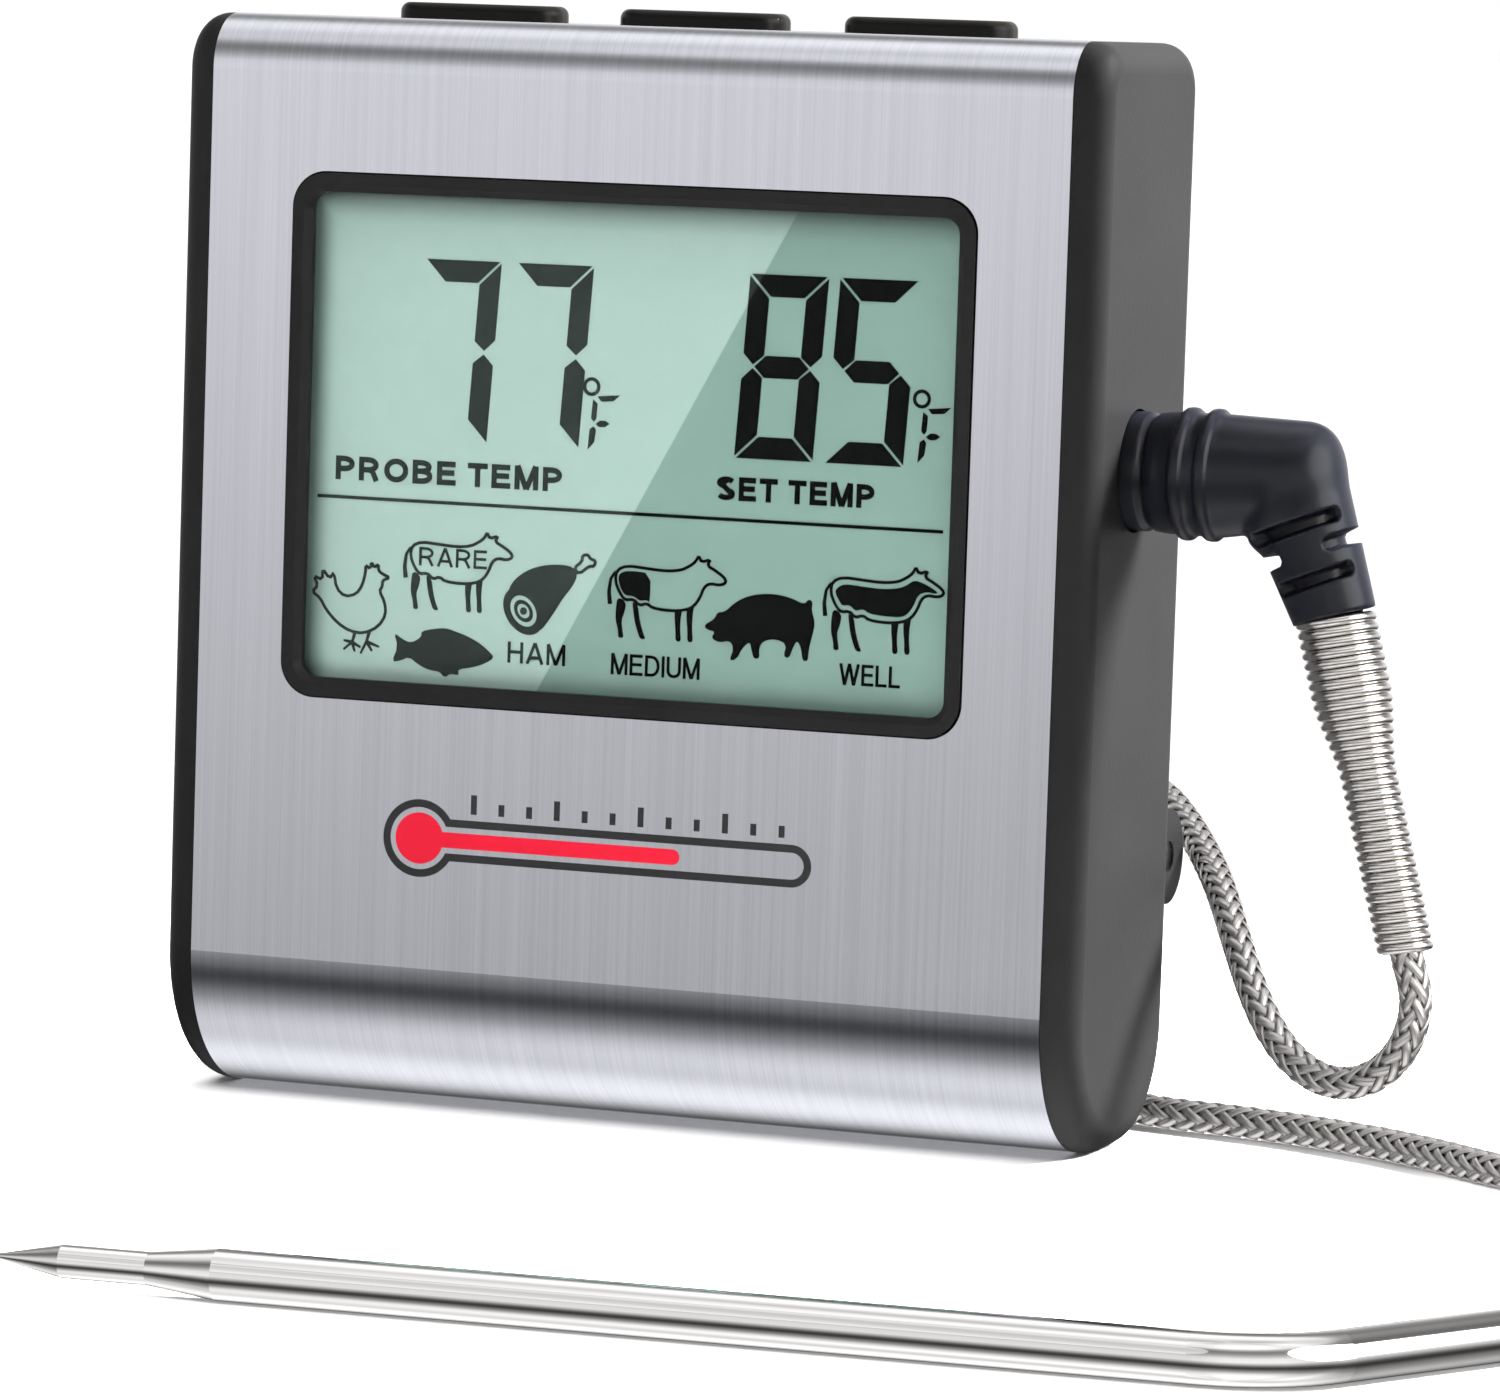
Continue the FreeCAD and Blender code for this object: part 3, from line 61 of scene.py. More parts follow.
def make_camera():
    azimuth, elevation = CAMERA_AZIMUTH, CAMERA_ELEVATION
    back = Vector((
        math.sin(azimuth) * math.cos(elevation),
        -math.cos(azimuth) * math.cos(elevation),
        math.sin(elevation),
    ))
    right = Vector((math.cos(azimuth), math.sin(azimuth), 0))
    up = back.cross(right)
    aim = CAMERA_AIM + right * CAMERA_AIM_RIGHT + up * CAMERA_AIM_UP
    data = bpy.data.cameras.new("camera")
    data.lens = CAMERA_LENS
    data.sensor_width = CAMERA_SENSOR
    data.clip_start = 0.01
    data.clip_end = 20
    camera = bpy.data.objects.new("camera", data)
    bpy.context.scene.collection.objects.link(camera)
    across = right * math.cos(CAMERA_ROLL) + up * math.sin(CAMERA_ROLL)
    upward = back.cross(across)
    turn = Matrix((across, upward, back)).transposed()
    camera.matrix_world = Matrix.Translation((aim + back * CAMERA_DISTANCE) * MM) @ turn.to_4x4()
    bpy.context.scene.camera = camera


# ---- helpers for meshes ----

def mesh_object(name, points, faces, body, material, smooth=True, uv=None):
    """A mesh from points in millimetres. uv, if given, holds one pair per point."""
    mesh = bpy.data.meshes.new(name)
    mesh.from_pydata((np.asarray(points, float) * MM).tolist(), [], faces)
    mesh.update()
    if smooth:
        mesh.polygons.foreach_set("use_smooth", [True] * len(mesh.polygons))
    if uv is not None:
        layer = mesh.uv_layers.new(name="along")
        corner = np.zeros(len(mesh.loops), np.int32)
        mesh.loops.foreach_get("vertex_index", corner)
        layer.data.foreach_set("uv", np.asarray(uv, np.float32)[corner].ravel())
    mesh.materials.append(material)
    thing = bpy.data.objects.new(name, mesh)
    bpy.context.scene.collection.objects.link(thing)
    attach(thing, body)
    return thing


def grid_faces(rows, columns, start=0):
    """Quads between rings of points, and a face at each end; start is the first point's number."""
    faces = []
    for row in range(rows - 1):
        for column in range(columns):
            following = (column + 1) % columns
            low = start + row * columns
            high = low + columns
            faces.append((low + column, low + following, high + following, high + column))
    last = start + (rows - 1) * columns
    faces.append(tuple(range(start, start + columns))[::-1])
    faces.append(tuple(range(last, last + columns)))
    return faces


def smooth_step(low, high, x):
    t = np.clip((x - low) / (high - low), 0, 1)
    return t * t * (3 - 2 * t)


# ---- helpers for materials ----

class Finish:
    """A node material under construction, with a Principled shader."""

    def __init__(self, name, colour, roughness, metallic=0.0, **values):
        self.material = bpy.data.materials.new(name)
        self.material.use_nodes = True
        self.tree = self.material.node_tree
        self.shader = self.tree.nodes["Principled BSDF"]
        self.set("Base Color", (*colour, 1))
        self.set("Roughness", roughness)
        self.set("Metallic", metallic)
        for socket, number in values.items():
            self.set(socket.replace("_", " "), number)

    def set(self, socket, number):
        self.shader.inputs[socket].default_value = number

    def node(self, kind, **settings):
        made = self.tree.nodes.new(kind)
        for key, number in settings.items():
            if key in made.bl_rna.properties:
                setattr(made, key, number)
            else:
                made.inputs[key.replace("_", " ")].default_value = number
        return made

    def link(self, source, target):
        self.tree.links.new(source, target)

    def place(self, stretch=(1, 1, 1)):
        """Texture coordinates in the row frame, stretched."""
        coordinates = self.node("ShaderNodeTexCoord")
        mapping = self.node("ShaderNodeMapping")
        mapping.inputs["Scale"].default_value = stretch
        self.link(coordinates.outputs["Object"], mapping.inputs["Vector"])
        return mapping.outputs["Vector"]

    def axes(self, source=None):
        """The X, Y and Z of a place, which is the place in the row frame if source is None."""
        made = self.node("ShaderNodeSeparateXYZ")
        if source is None:
            source = self.node("ShaderNodeTexCoord").outputs["Object"]
        self.link(source, made.inputs[0])
        return made.outputs

    def noise(self, scale, detail=3.0, roughness=0.55, stretch=(1, 1, 1)):
        made = self.node("ShaderNodeTexNoise", Scale=scale, Detail=detail, Roughness=roughness)
        self.link(self.place(stretch), made.inputs["Vector"])
        return made.outputs["Fac"]

    def cells(self, scale):
        made = self.node("ShaderNodeTexVoronoi", feature="F1", Scale=scale)
        self.link(self.place(), made.inputs["Vector"])
        return made.outputs["Distance"]

    def remap(self, factor, low, high, start=0.0, end=1.0):
        """low where the factor is start or less, high where it is end or more."""
        made = self.node("ShaderNodeMapRange")
        self.link(factor, made.inputs["Value"])
        for socket, number in (("From Min", start), ("From Max", end), ("To Min", low), ("To Max", high)):
            made.inputs[socket].default_value = number
        return made.outputs["Result"]

    def math(self, operation, first, second=None):
        made = self.node("ShaderNodeMath", operation=operation)
        for socket, source in zip(made.inputs, (first, second)):
            if source is None:
                continue
            if isinstance(source, (int, float)):
                socket.default_value = source
            else:
                self.link(source, socket)
        return made.outputs["Value"]

    def blend(self, factor, first, second):
        """A colour between two, each a tuple or a colour output."""
        made = self.node("ShaderNodeMix", data_type="RGBA")
        self.link(factor, made.inputs["Factor"])
        for socket, colour in ((made.inputs[6], first), (made.inputs[7], second)):
            if isinstance(colour, tuple):
                socket.default_value = (*colour, 1)
            else:
                self.link(colour, socket)
        return made.outputs[2]

    def shades(self, factor, first, second):
        """A colour between two that follows a noise, whose values are mostly near the middle."""
        return self.blend(self.remap(factor, 0, 1, 0.3, 0.7), first, second)

    def colour(self, made):
        self.link(made, self.shader.inputs["Base Color"])

    def rough(self, factor, low, high):
        self.link(self.remap(factor, low, high), self.shader.inputs["Roughness"])

    def bump(self, height, strength, distance):
        """distance is in millimetres."""
        made = self.node("ShaderNodeBump", Strength=strength, Distance=distance * MM)
        self.link(height, made.inputs["Height"])
        self.link(made.outputs["Normal"], self.shader.inputs["Normal"])


def brushed_steel(name, colour, dark, low, high):
    """Steel with fine scratches that run up the front and over the top."""
    finish = Finish(name, colour, 0.3, 1.0, Anisotropic=0.8, Anisotropic_Rotation=0.25)
    fine = finish.noise(1.0, 4.0, 0.6, (7000, 38, 38))
    broad = finish.noise(1.0, 3.0, 0.5, (1500, 14, 14))
    both = finish.math("ADD", finish.math("MULTIPLY", fine, 0.6), finish.math("MULTIPLY", broad, 0.4))
    finish.colour(finish.shades(both, dark, colour))
    finish.rough(fine, low, high)
    finish.bump(fine, 0.12, 0.02)
    tangent = finish.node("ShaderNodeTangent", direction_type="RADIAL", axis="X")
    finish.link(tangent.outputs["Tangent"], finish.shader.inputs["Tangent"])
    return finish.material


def moulded_plastic(name, colour, roughness, grain=2600, strength=0.25, tint=1.35, **values):
    """Moulded plastic with a fine spark-eroded grain and faint handling marks."""
    finish = Finish(name, colour, roughness, **values)
    marks = finish.noise(90, 5.0, 0.6)
    lighter = tuple(min(1.0, channel * tint) for channel in colour)
    finish.colour(finish.blend(finish.remap(marks, 0, 1, 0.35, 0.7), colour, lighter))
    finish.rough(marks, roughness - 0.06, roughness + 0.08)
    pits = finish.cells(grain)
    finish.bump(pits, strength, 0.03)
    return finish.material


def polished_metal(name, colour, dark, roughness, grain=(60, 60, 60), strength=0.04):
    """Smooth metal with faint clouds and finer ripples; grain is the clouds' scale on each axis."""
    finish = Finish(name, colour, roughness, 1.0)
    clouds = finish.noise(1.0, 4.0, 0.55, grain)
    finish.colour(finish.shades(clouds, dark, colour))
    finish.rough(clouds, roughness * 0.7, roughness * 1.4)
    finish.bump(finish.noise(1.0, 3.0, 0.6, tuple(25 * part for part in grain)), strength, 0.01)
    return finish.material


# the painted reflection that lightens the display's upper-left part: one point of its slanted edge, how far
# X moves per Z, and its half width
GLARE_X = 10.3
GLARE_Z = 58.2
GLARE_SLOPE = 0.535
GLARE_EDGE = 0.04
# the painted shadow: from where it starts to its darkest, at the upper edge and at the left one
SHADOW_LOW = 56.9
SHADOW_HIGH = 58.9
SHADOW_RIGHT = -20.6
SHADOW_LEFT = -21.9
SHADOW_LEFT_LEVEL = 0.75
SHADOW_POWER = 1.5
SHADOW_COLOUR = (0.012, 0.020, 0.017)


def painted_glare_side(finish):
    """0 on the display's upper-left part, made lighter by a painted reflection, 1 on the rest."""
    place = finish.axes()
    slanted = finish.math("MULTIPLY", place["Z"], GLARE_SLOPE)
    across = finish.math("SUBTRACT", place["X"], slanted)
    edge = GLARE_X - GLARE_SLOPE * GLARE_Z
    return finish.remap(across, 0, 1, (edge - GLARE_EDGE) * MM, (edge + GLARE_EDGE) * MM)


def screen_finish():
    """The display's grey-green glass: a painted reflection that lightens its upper-left part, and a painted
    soft shadow of the window's frame.
    """
    finish = Finish("lcd_screen", (0.36, 0.52, 0.45), 0.35)
    grain = finish.noise(900, 3.0)
    # the first tone is the glass under the painted reflection, the second the glass without it
    light = finish.shades(grain, (0.237, 0.343, 0.303), (0.246, 0.354, 0.313))
    dark = finish.shades(grain, (0.128, 0.215, 0.182), (0.133, 0.221, 0.188))
    screen_and_glare = finish.blend(painted_glare_side(finish), light, dark)
    place = finish.axes()
    upper = finish.remap(place["Z"], 0, 1, SHADOW_LOW * MM, SHADOW_HIGH * MM)
    left = finish.remap(place["X"], SHADOW_LEFT_LEVEL, 0, SHADOW_LEFT * MM, SHADOW_RIGHT * MM)
    shadow = finish.math("POWER", finish.math("MAXIMUM", upper, left), SHADOW_POWER)
    finish.colour(finish.blend(shadow, screen_and_glare, SHADOW_COLOUR))
    finish.bump(grain, 0.05, 0.01)
    return finish.material


def ink_finish(name, light, dark):
    """The display's ink, painted lighter under the painted reflection on the display's upper-left part."""
    finish = Finish(name, dark, 0.6, Specular_IOR_Level=0.02)
    speckle = finish.noise(2500, 2.0)
    # light is the ink's colour under the painted reflection
    ink_under_glare = finish.shades(speckle, light, tuple(1.12 * part for part in light))
    finish.colour(finish.blend(painted_glare_side(finish), ink_under_glare, dark))
    return finish.material


BUNDLE_WIRES = 5


def braid_finish():
    """Flat bundles of fine steel wires, with painted shade between the wires and at each bundle's edges;
    each bundle's UV runs across it in u.
    """
    finish = Finish("braided_steel", (0.80, 0.775, 0.74), 0.32, 1.0)
    bundle = finish.node("ShaderNodeUVMap", uv_map="along")
    side = finish.axes(bundle.outputs["UV"])["X"]
    across = finish.math("MULTIPLY", side, BUNDLE_WIRES * 2 * math.pi)
    wires = finish.math("ADD", finish.math("MULTIPLY", finish.math("SINE", across), 0.5), 0.5)
    edge = finish.math("ABSOLUTE", finish.math("SUBTRACT", side, 0.5))
    # painted shade: much darker at each bundle's edges, where the bundles meet
    bundle_edge_shade = finish.remap(edge, 1.0, 0.4, 0.42, 0.5)
    patches = finish.noise(700, 3.0)
    # the wires' ridges also darken the colour between the wires: painted shade
    tone = finish.math("MULTIPLY", finish.remap(patches, 0.9, 1.0, 0.3, 0.7), finish.remap(wires, 0.86, 1.0))
    tone = finish.math("MULTIPLY", tone, bundle_edge_shade)
    finish.colour(finish.blend(tone, (0.06, 0.058, 0.055), (1.0, 0.97, 0.94)))
    finish.rough(patches, 0.36, 0.48)
    finish.bump(wires, 0.2, 0.03)
    return finish.material


def lens_finish():
    """A clear acrylic window, with faint wipe marks."""
    finish = Finish("clear_lens", (0.06, 0.07, 0.068), 0.06, 0.0, Alpha=0.025)
    smears = finish.noise(45, 4.0, 0.6)
    finish.rough(smears, 0.03, 0.12)
    return finish.material


# one finish for each of the record's material slots
FINISHES = {
    "brushed_steel": brushed_steel("brushed_steel", (0.815, 0.825, 0.88), (0.68, 0.69, 0.74), 0.19, 0.27),
    "black_plastic": moulded_plastic("black_plastic", (0.006, 0.006, 0.0063), 0.42, Specular_IOR_Level=0.12),
    "grey_black_plastic": moulded_plastic("grey_black_plastic", (0.0082, 0.0082, 0.0084), 0.45, 3200, 0.2,
                                          1.2, Specular_IOR_Level=0.08),
    "bezel_plastic": moulded_plastic("bezel_plastic", (0.007, 0.0066, 0.0066), 0.4, 3600, 0.12,
                                     Specular_IOR_Level=0.15),
    "clear_lens": lens_finish(),
    "lcd_screen": screen_finish(),
    "reflector_foil": polished_metal("reflector_foil", (0.75, 0.77, 0.76), (0.6, 0.62, 0.61), 0.35),
    "contact_rubber": moulded_plastic("contact_rubber", (0.03, 0.03, 0.033), 0.7, 4000, 0.1),
    "board_green": moulded_plastic("board_green", (0.01, 0.14, 0.05), 0.35, 900, 0.1),
    "epoxy_black": moulded_plastic("epoxy_black", (0.012, 0.012, 0.012), 0.25, 700, 0.1),
    "gloss_black": moulded_plastic("gloss_black", (0.014, 0.014, 0.014), 0.25, 2000, 0.06),
    "nickel": polished_metal("nickel", (0.78, 0.75, 0.70), (0.55, 0.52, 0.48), 0.2),
    "battery_wrap": moulded_plastic("battery_wrap", (0.012, 0.017, 0.028), 0.28, 1500, 0.04),
    "key_plastic": moulded_plastic("key_plastic", (0.004, 0.0036, 0.003), 0.3, 3000, 0.1,
                                   Specular_IOR_Level=0.16),
    "zinc_steel": polished_metal("zinc_steel", (0.62, 0.62, 0.60), (0.42, 0.42, 0.42), 0.32),
    "foot_rubber": moulded_plastic("foot_rubber", (0.03, 0.03, 0.03), 0.75, 1800, 0.4),
    "boot_rubber": moulded_plastic("boot_rubber", (0.0030, 0.0033, 0.0050), 0.29, 900, 0.45, 1.6,
                                   Specular_IOR_Level=0.32),
    "spring_steel": polished_metal("spring_steel", (0.97, 0.94, 0.91), (0.90, 0.87, 0.84), 0.19),
    "braided_steel": braid_finish(),
    "tie_plastic": moulded_plastic("tie_plastic", (0.03, 0.03, 0.03), 0.45, 2500, 0.15),
    "probe_steel": polished_metal("probe_steel", (0.95, 0.935, 0.91), (0.90, 0.88, 0.86), 0.06,
                                  (15, 120, 120), 0.02),
}


# ---- the cable ----

# the spring and the route repeat the part's own sizes
SPRING_START = Vector((44.414, -1.0, 34.559))
SPRING_ANGLE = math.radians(14.7)
SPRING_LENGTH = 21.2
SPRING_AXIS = Vector((math.sin(SPRING_ANGLE), 0, -math.cos(SPRING_ANGLE)))
SPRING_END = SPRING_START + SPRING_AXIS * SPRING_LENGTH

CABLE_RUN = [
    (50.7, -1.0, 11.2),
    (49.8, -0.7, 8.0),
    (47.3, 0.2, 5.8),
    (44.2, 1.5, 5.3),
    (41.2, 3.2, 6.5),
    (38.6, 5.2, 9.2),
    (36.2, 8.2, 12.7),
    (33.8, 12.4, 15.5),
    (31.4, 16.5, 17.3),
    (29.0, 20.0, 18.9),
    (26.4, 23.5, 20.2),
    (23.4, 27.4, 20.6),
    (21.2, 31.4, 18.2),
    (20.4, 34.4, 13.6),
    (20.4, 35.0, 8.0),
    (21.2, 33.0, 3.2),
    (22.0, 28.8, 1.1),
    (22.2, 23.2, 1.1),
    (23.0, 17.6, 1.1),
    (26.2, 13.0, 1.1),
    (31.2, 10.9, 1.1),
    (37.0, 10.0, 1.1),
    (43.0, 8.1, 1.1),
    (49.4, 4.9, 1.1),
    (55.9, -0.4, 1.1),
    (62.2, -4.3, 1.1),
    (69.2, -5.3, 1.1),
]
CABLE_TAIL = [
    (92.4, -29.2, 1.2),
    (89.6, -32.6, 1.1),
    (85.6, -35.9, 1.2),
]
CRIMP_END = (80.92, -41.77, 1.45)
CORE_RADIUS = 0.86
CABLE_INSIDE_SPRING = 1.5

COIL_CENTRE = (79.0, -18.0)
COIL_FLOOR = 1.4
COIL_START_ANGLE = 101.5
COIL_POINTS_PER_TURN = 16
# the winding's whole length in turns, and the turn at which it starts to leave for the probe
COIL_TURNS = 11.36
COIL_LEAVES = 10.55
# radius in each column, from the outside in, and the columns of the three layers in winding order
COIL_RADII = (14.75, 12.62, 10.49, 8.36)
COIL_COLUMNS = (0, 1, 2, 3, 3, 2, 1, 0, 0, 1, 2)
COIL_LAYERS = (0, 0, 0, 0, 1, 1, 1, 1, 2, 2, 2)
LAYER_RISE = 2.12
# the share of each turn after which the cable moves over to the next column
TURN_SHIFT = 0.82
LAYER_BULGE = 0.9
COIL_EXIT_OUT = 6.6
# the braid of the coil starts beyond this X, and ends this far from the coil's centre
COIL_FROM_X = 66
COIL_EDGE = 15.6


def coil_place(turn):
    """Radius and height of the coil's centreline after so many turns."""
    whole = min(int(turn), len(COIL_COLUMNS) - 1)
    after = min(whole + 1, len(COIL_COLUMNS) - 1)
    shift = float(smooth_step(TURN_SHIFT, 1.0, turn - whole))
    radius = COIL_RADII[COIL_COLUMNS[whole]]
    radius += (COIL_RADII[COIL_COLUMNS[after]] - radius) * shift
    layer = COIL_LAYERS[whole] + (COIL_LAYERS[after] - COIL_LAYERS[whole]) * shift
    if COIL_LAYERS[after] != COIL_LAYERS[whole]:
        bulge = LAYER_BULGE * math.sin(math.pi * shift)
        radius += bulge if COIL_COLUMNS[whole] == 0 else -bulge
    height = COIL_FLOOR + LAYER_RISE * layer
    if turn > COIL_LEAVES:
        out = (turn - COIL_LEAVES) / (COIL_TURNS - COIL_LEAVES)
        radius = COIL_RADII[2] + COIL_EXIT_OUT * float(smooth_step(0.12, 0.8, out))
        over = float(smooth_step(0.0, 0.25, out))
        down = float(smooth_step(0.58, 0.98, out))
        height += (LAYER_RISE + 0.25) * over - (3 * LAYER_RISE + 0.4) * down
    return radius, height


def coil_points():
    points = []
    for step in range(1, round(COIL_TURNS * COIL_POINTS_PER_TURN) + 1):
        turn = step / COIL_POINTS_PER_TURN
        radius, height = coil_place(turn)
        angle = math.radians(COIL_START_ANGLE - 360 * turn)
        points.append((
            COIL_CENTRE[0] + radius * math.cos(angle),
            COIL_CENTRE[1] + radius * math.sin(angle),
            height,
        ))
    return points


def make_cord():
    """The cable's dark core: one smooth spline from the spring to the probe."""
    inside = tuple(SPRING_END - SPRING_AXIS * CABLE_INSIDE_SPRING)
    points = [inside, tuple(SPRING_END), *CABLE_RUN, *coil_points(), *CABLE_TAIL, CRIMP_END]
    curve = bpy.data.curves.new("cable", "CURVE")
    curve.dimensions = "3D"
    curve.resolution_u = 12
    spline = curve.splines.new("NURBS")
    spline.points.add(len(points) - 1)
    for target, point in zip(spline.points, points):
        target.co = (*(part * MM for part in point), 1)
    spline.order_u = 3
    spline.use_endpoint_u = True
    cable = bpy.data.objects.new("cable", curve)
    bpy.context.scene.collection.objects.link(cable)
    bpy.context.view_layer.update()
    line = bpy.data.meshes.new_from_object(cable)
    centreline = np.array([vertex.co for vertex in line.vertices]) / MM
    bpy.data.meshes.remove(line)
    curve.bevel_depth = CORE_RADIUS * MM
    curve.bevel_resolution = 4
    curve.use_fill_caps = True
    curve.materials.append(FINISHES["contact_rubber"])
    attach(cable, "probe_lead")
    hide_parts("cable_core", "cable_run", "cable_coil", "cable_tail")
    return cable, centreline


def resample(line, spacing):
    """Points an even distance apart along a line of points."""
    steps = np.linalg.norm(np.diff(line, axis=0), axis=1)
    keep = np.concatenate([[True], steps > 1e-6])
    line = line[keep]
    travelled = np.concatenate([[0], np.cumsum(np.linalg.norm(np.diff(line, axis=0), axis=1))])
    count = max(2, int(round(travelled[-1] / spacing)) + 1)
    wanted = np.linspace(0, travelled[-1], count)
    return np.stack([np.interp(wanted, travelled, line[:, axis]) for axis in range(3)], 1), wanted


def frames_along(line):
    """Two unit vectors across the line at each point, turning as little as they can."""
    tangents = np.gradient(line, axis=0)
    tangents = (np.roll(tangents, 1, 0) + tangents + np.roll(tangents, -1, 0))
    tangents[0], tangents[-1] = line[1] - line[0], line[-1] - line[-2]
    tangents /= np.linalg.norm(tangents, axis=1)[:, None]
    first = np.cross(tangents[0], (0.0, 1.0, 0.0))
    first /= np.linalg.norm(first)
    across = [first]
    for tangent in tangents[1:]:
        side = across[-1] - tangent * np.dot(across[-1], tangent)
        across.append(side / np.linalg.norm(side))
    across = np.array(across)
    return across, np.cross(tangents, across)


# the braid: bundles each way round, length of one turn, middle radius, how far a bundle rises and falls
# at crossings, its thickness, and the share of the surface that the bundles of one way cover
BRAID_BUNDLES = 8
BRAID_PITCH = 10.4
BRAID_RADIUS = 0.93
BRAID_WAVE = 0.075
BRAID_THICKNESS = 0.10
BRAID_COVER = 0.86
BRAID_STEP = 0.24
COIL_BRAID_STEP = 0.40


def make_braid(name, line, first_length):
    """Sixteen flat bundles of wire, eight each way round, each over two and under two."""
    across, upward = frames_along(line)
    travelled = first_length + np.concatenate([
        [0], np.cumsum(np.linalg.norm(np.diff(line, axis=0), axis=1))])
    # each bundle's section: three points on its outer face and two on its inner one
    section = [(-1.0, 0.35), (0.0, 0.62), (1.0, 0.35), (0.9, -0.5), (-0.9, -0.5)]
    half_angle = BRAID_COVER * math.pi / BRAID_BUNDLES * 2
    points, faces, uv = [], [], []
    rows, columns = len(line), len(section)
    for direction in (1, -1):
        for bundle in range(BRAID_BUNDLES):
            turn = 2 * math.pi * (bundle / BRAID_BUNDLES + direction * travelled / BRAID_PITCH)
            # along a bundle, crossings come evenly; a phase of four crossings is one wave
            phase = 2 * bundle + direction * travelled * 2 * BRAID_BUNDLES / BRAID_PITCH
            wave = np.clip(1.5 * np.cos(2 * math.pi * (phase - 0.5) / 4), -1, 1)
            radius = BRAID_RADIUS + BRAID_WAVE * wave * direction
            start = len(points) * rows * columns
            block = np.zeros((rows, columns, 3))
            block_uv = np.zeros((rows, columns, 2))
            for column, (side, lift) in enumerate(section):
                angle = turn + side * half_angle / 2
                reach = radius + lift * BRAID_THICKNESS
                block[:, column] = (
                    line
                    + across * (reach * np.cos(angle))[:, None]
                    + upward * (reach * np.sin(angle))[:, None]
                )
                block_uv[:, column, 0] = 0.5 + 0.5 * side
                block_uv[:, column, 1] = travelled / 10
            points.append(block)
            uv.append(block_uv)
            faces += grid_faces(rows, columns, start)
    points = np.concatenate([block.reshape(-1, 3) for block in points])
    uv = np.concatenate([block.reshape(-1, 2) for block in uv])
    return mesh_object(name, points, faces, "probe_lead", FINISHES["braided_steel"],
                       uv=uv)


# ---- the spring ----

WIRE_RADIUS = 0.315
WIRE_GAP = 0.02
SPRING_WIDE = 2.55
SPRING_NARROW = 1.8
SPRING_TAPER = (4.2, 9.8)
SPRING_LEAD = 0.8


def tube_mesh(line, radius, sides):
    """Points and faces of a closed round tube."""
    across, upward = frames_along(line)
    angles = 2 * math.pi * np.arange(sides) / sides
    points = (
        line[:, None]
        + across[:, None] * (radius * np.cos(angles))[:, None]
        + upward[:, None] * (radius * np.sin(angles))[:, None]
    )
    return points.reshape(-1, 3), grid_faces(len(line), sides)


def make_spring():
    """A close-wound spring, wide where it grips the boot; it starts a little above SPRING_START."""
    steps_per_turn = 40
    length = SPRING_LENGTH + SPRING_LEAD - 2 * WIRE_RADIUS
    turns = round(length / (2 * WIRE_RADIUS + WIRE_GAP))
    share = np.linspace(0, 1, turns * steps_per_turn)
    distance = WIRE_RADIUS - SPRING_LEAD + share * length
    taper = smooth_step(*SPRING_TAPER, distance)
    outer = SPRING_WIDE + (SPRING_NARROW - SPRING_WIDE) * taper
    angle = -math.pi / 2 - 2 * math.pi * turns * share
    side = Vector((math.cos(SPRING_ANGLE), 0, math.sin(SPRING_ANGLE)))
    front = Vector((0, -1, 0))
    line = (
        np.array(SPRING_START)
        + distance[:, None] * np.array(SPRING_AXIS)
        + ((outer - WIRE_RADIUS) * np.cos(angle))[:, None] * np.array(side)
        + ((outer - WIRE_RADIUS) * np.sin(angle))[:, None] * np.array(front)
    )
    points, faces = tube_mesh(line, WIRE_RADIUS, 12)
    spring = mesh_object("spring_coils", points, faces, "probe_lead",
                         FINISHES["spring_steel"])
    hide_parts("strain_spring")
    return spring


# ---- the boot ----

BOOT_START = Vector((29.4, -1.0, 43.3))
BOOT_REACH = 11.7
ARM_ANGLE = math.radians(21)
ARM_LENGTH = 8.75
ARM_WIDE = 3.5
ARM_NARROW = 2.65
# the barrel's profile with its groove and two ribs: distance from its end, and radius
NOSE_PROFILE = [
    (0.0, 1.2), (0.0, 3.35), (0.12, 3.6), (0.4, 3.74), (1.5, 3.75), (2.5, 3.75), (2.72, 3.72),
    (2.82, 3.5), (3.06, 3.5), (3.16, 3.62), (3.28, 3.72), (3.9, 3.8), (4.7, 3.85),
    (4.8, 3.92), (4.88, 4.06), (5.0, 4.15), (5.2, 4.18), (5.45, 4.16), (5.58, 4.06), (5.66, 3.93),
    (5.76, 3.87), (6.0, 3.86), (6.36, 3.86), (6.46, 3.92), (6.54, 4.05), (6.66, 4.14), (6.88, 4.17),
    (7.12, 4.15), (7.24, 4.05), (7.32, 3.93), (7.42, 3.87), (7.7, 3.85),
]
# each strain-relief slot: distance down the arm from the elbow, and the middle of its arc in degrees
BOOT_SLOTS = [(3.0, 90), (3.0, 270), (4.6, 0), (4.6, 180), (6.45, 90), (6.45, 270)]
SLOT_HALF_ARC = math.radians(61)
SLOT_HALF_HEIGHT = 0.46
SLOT_DEPTH = 0.95
CORNER_RADIUS = 3.68
NIPPLE_RADIUS = 1.75


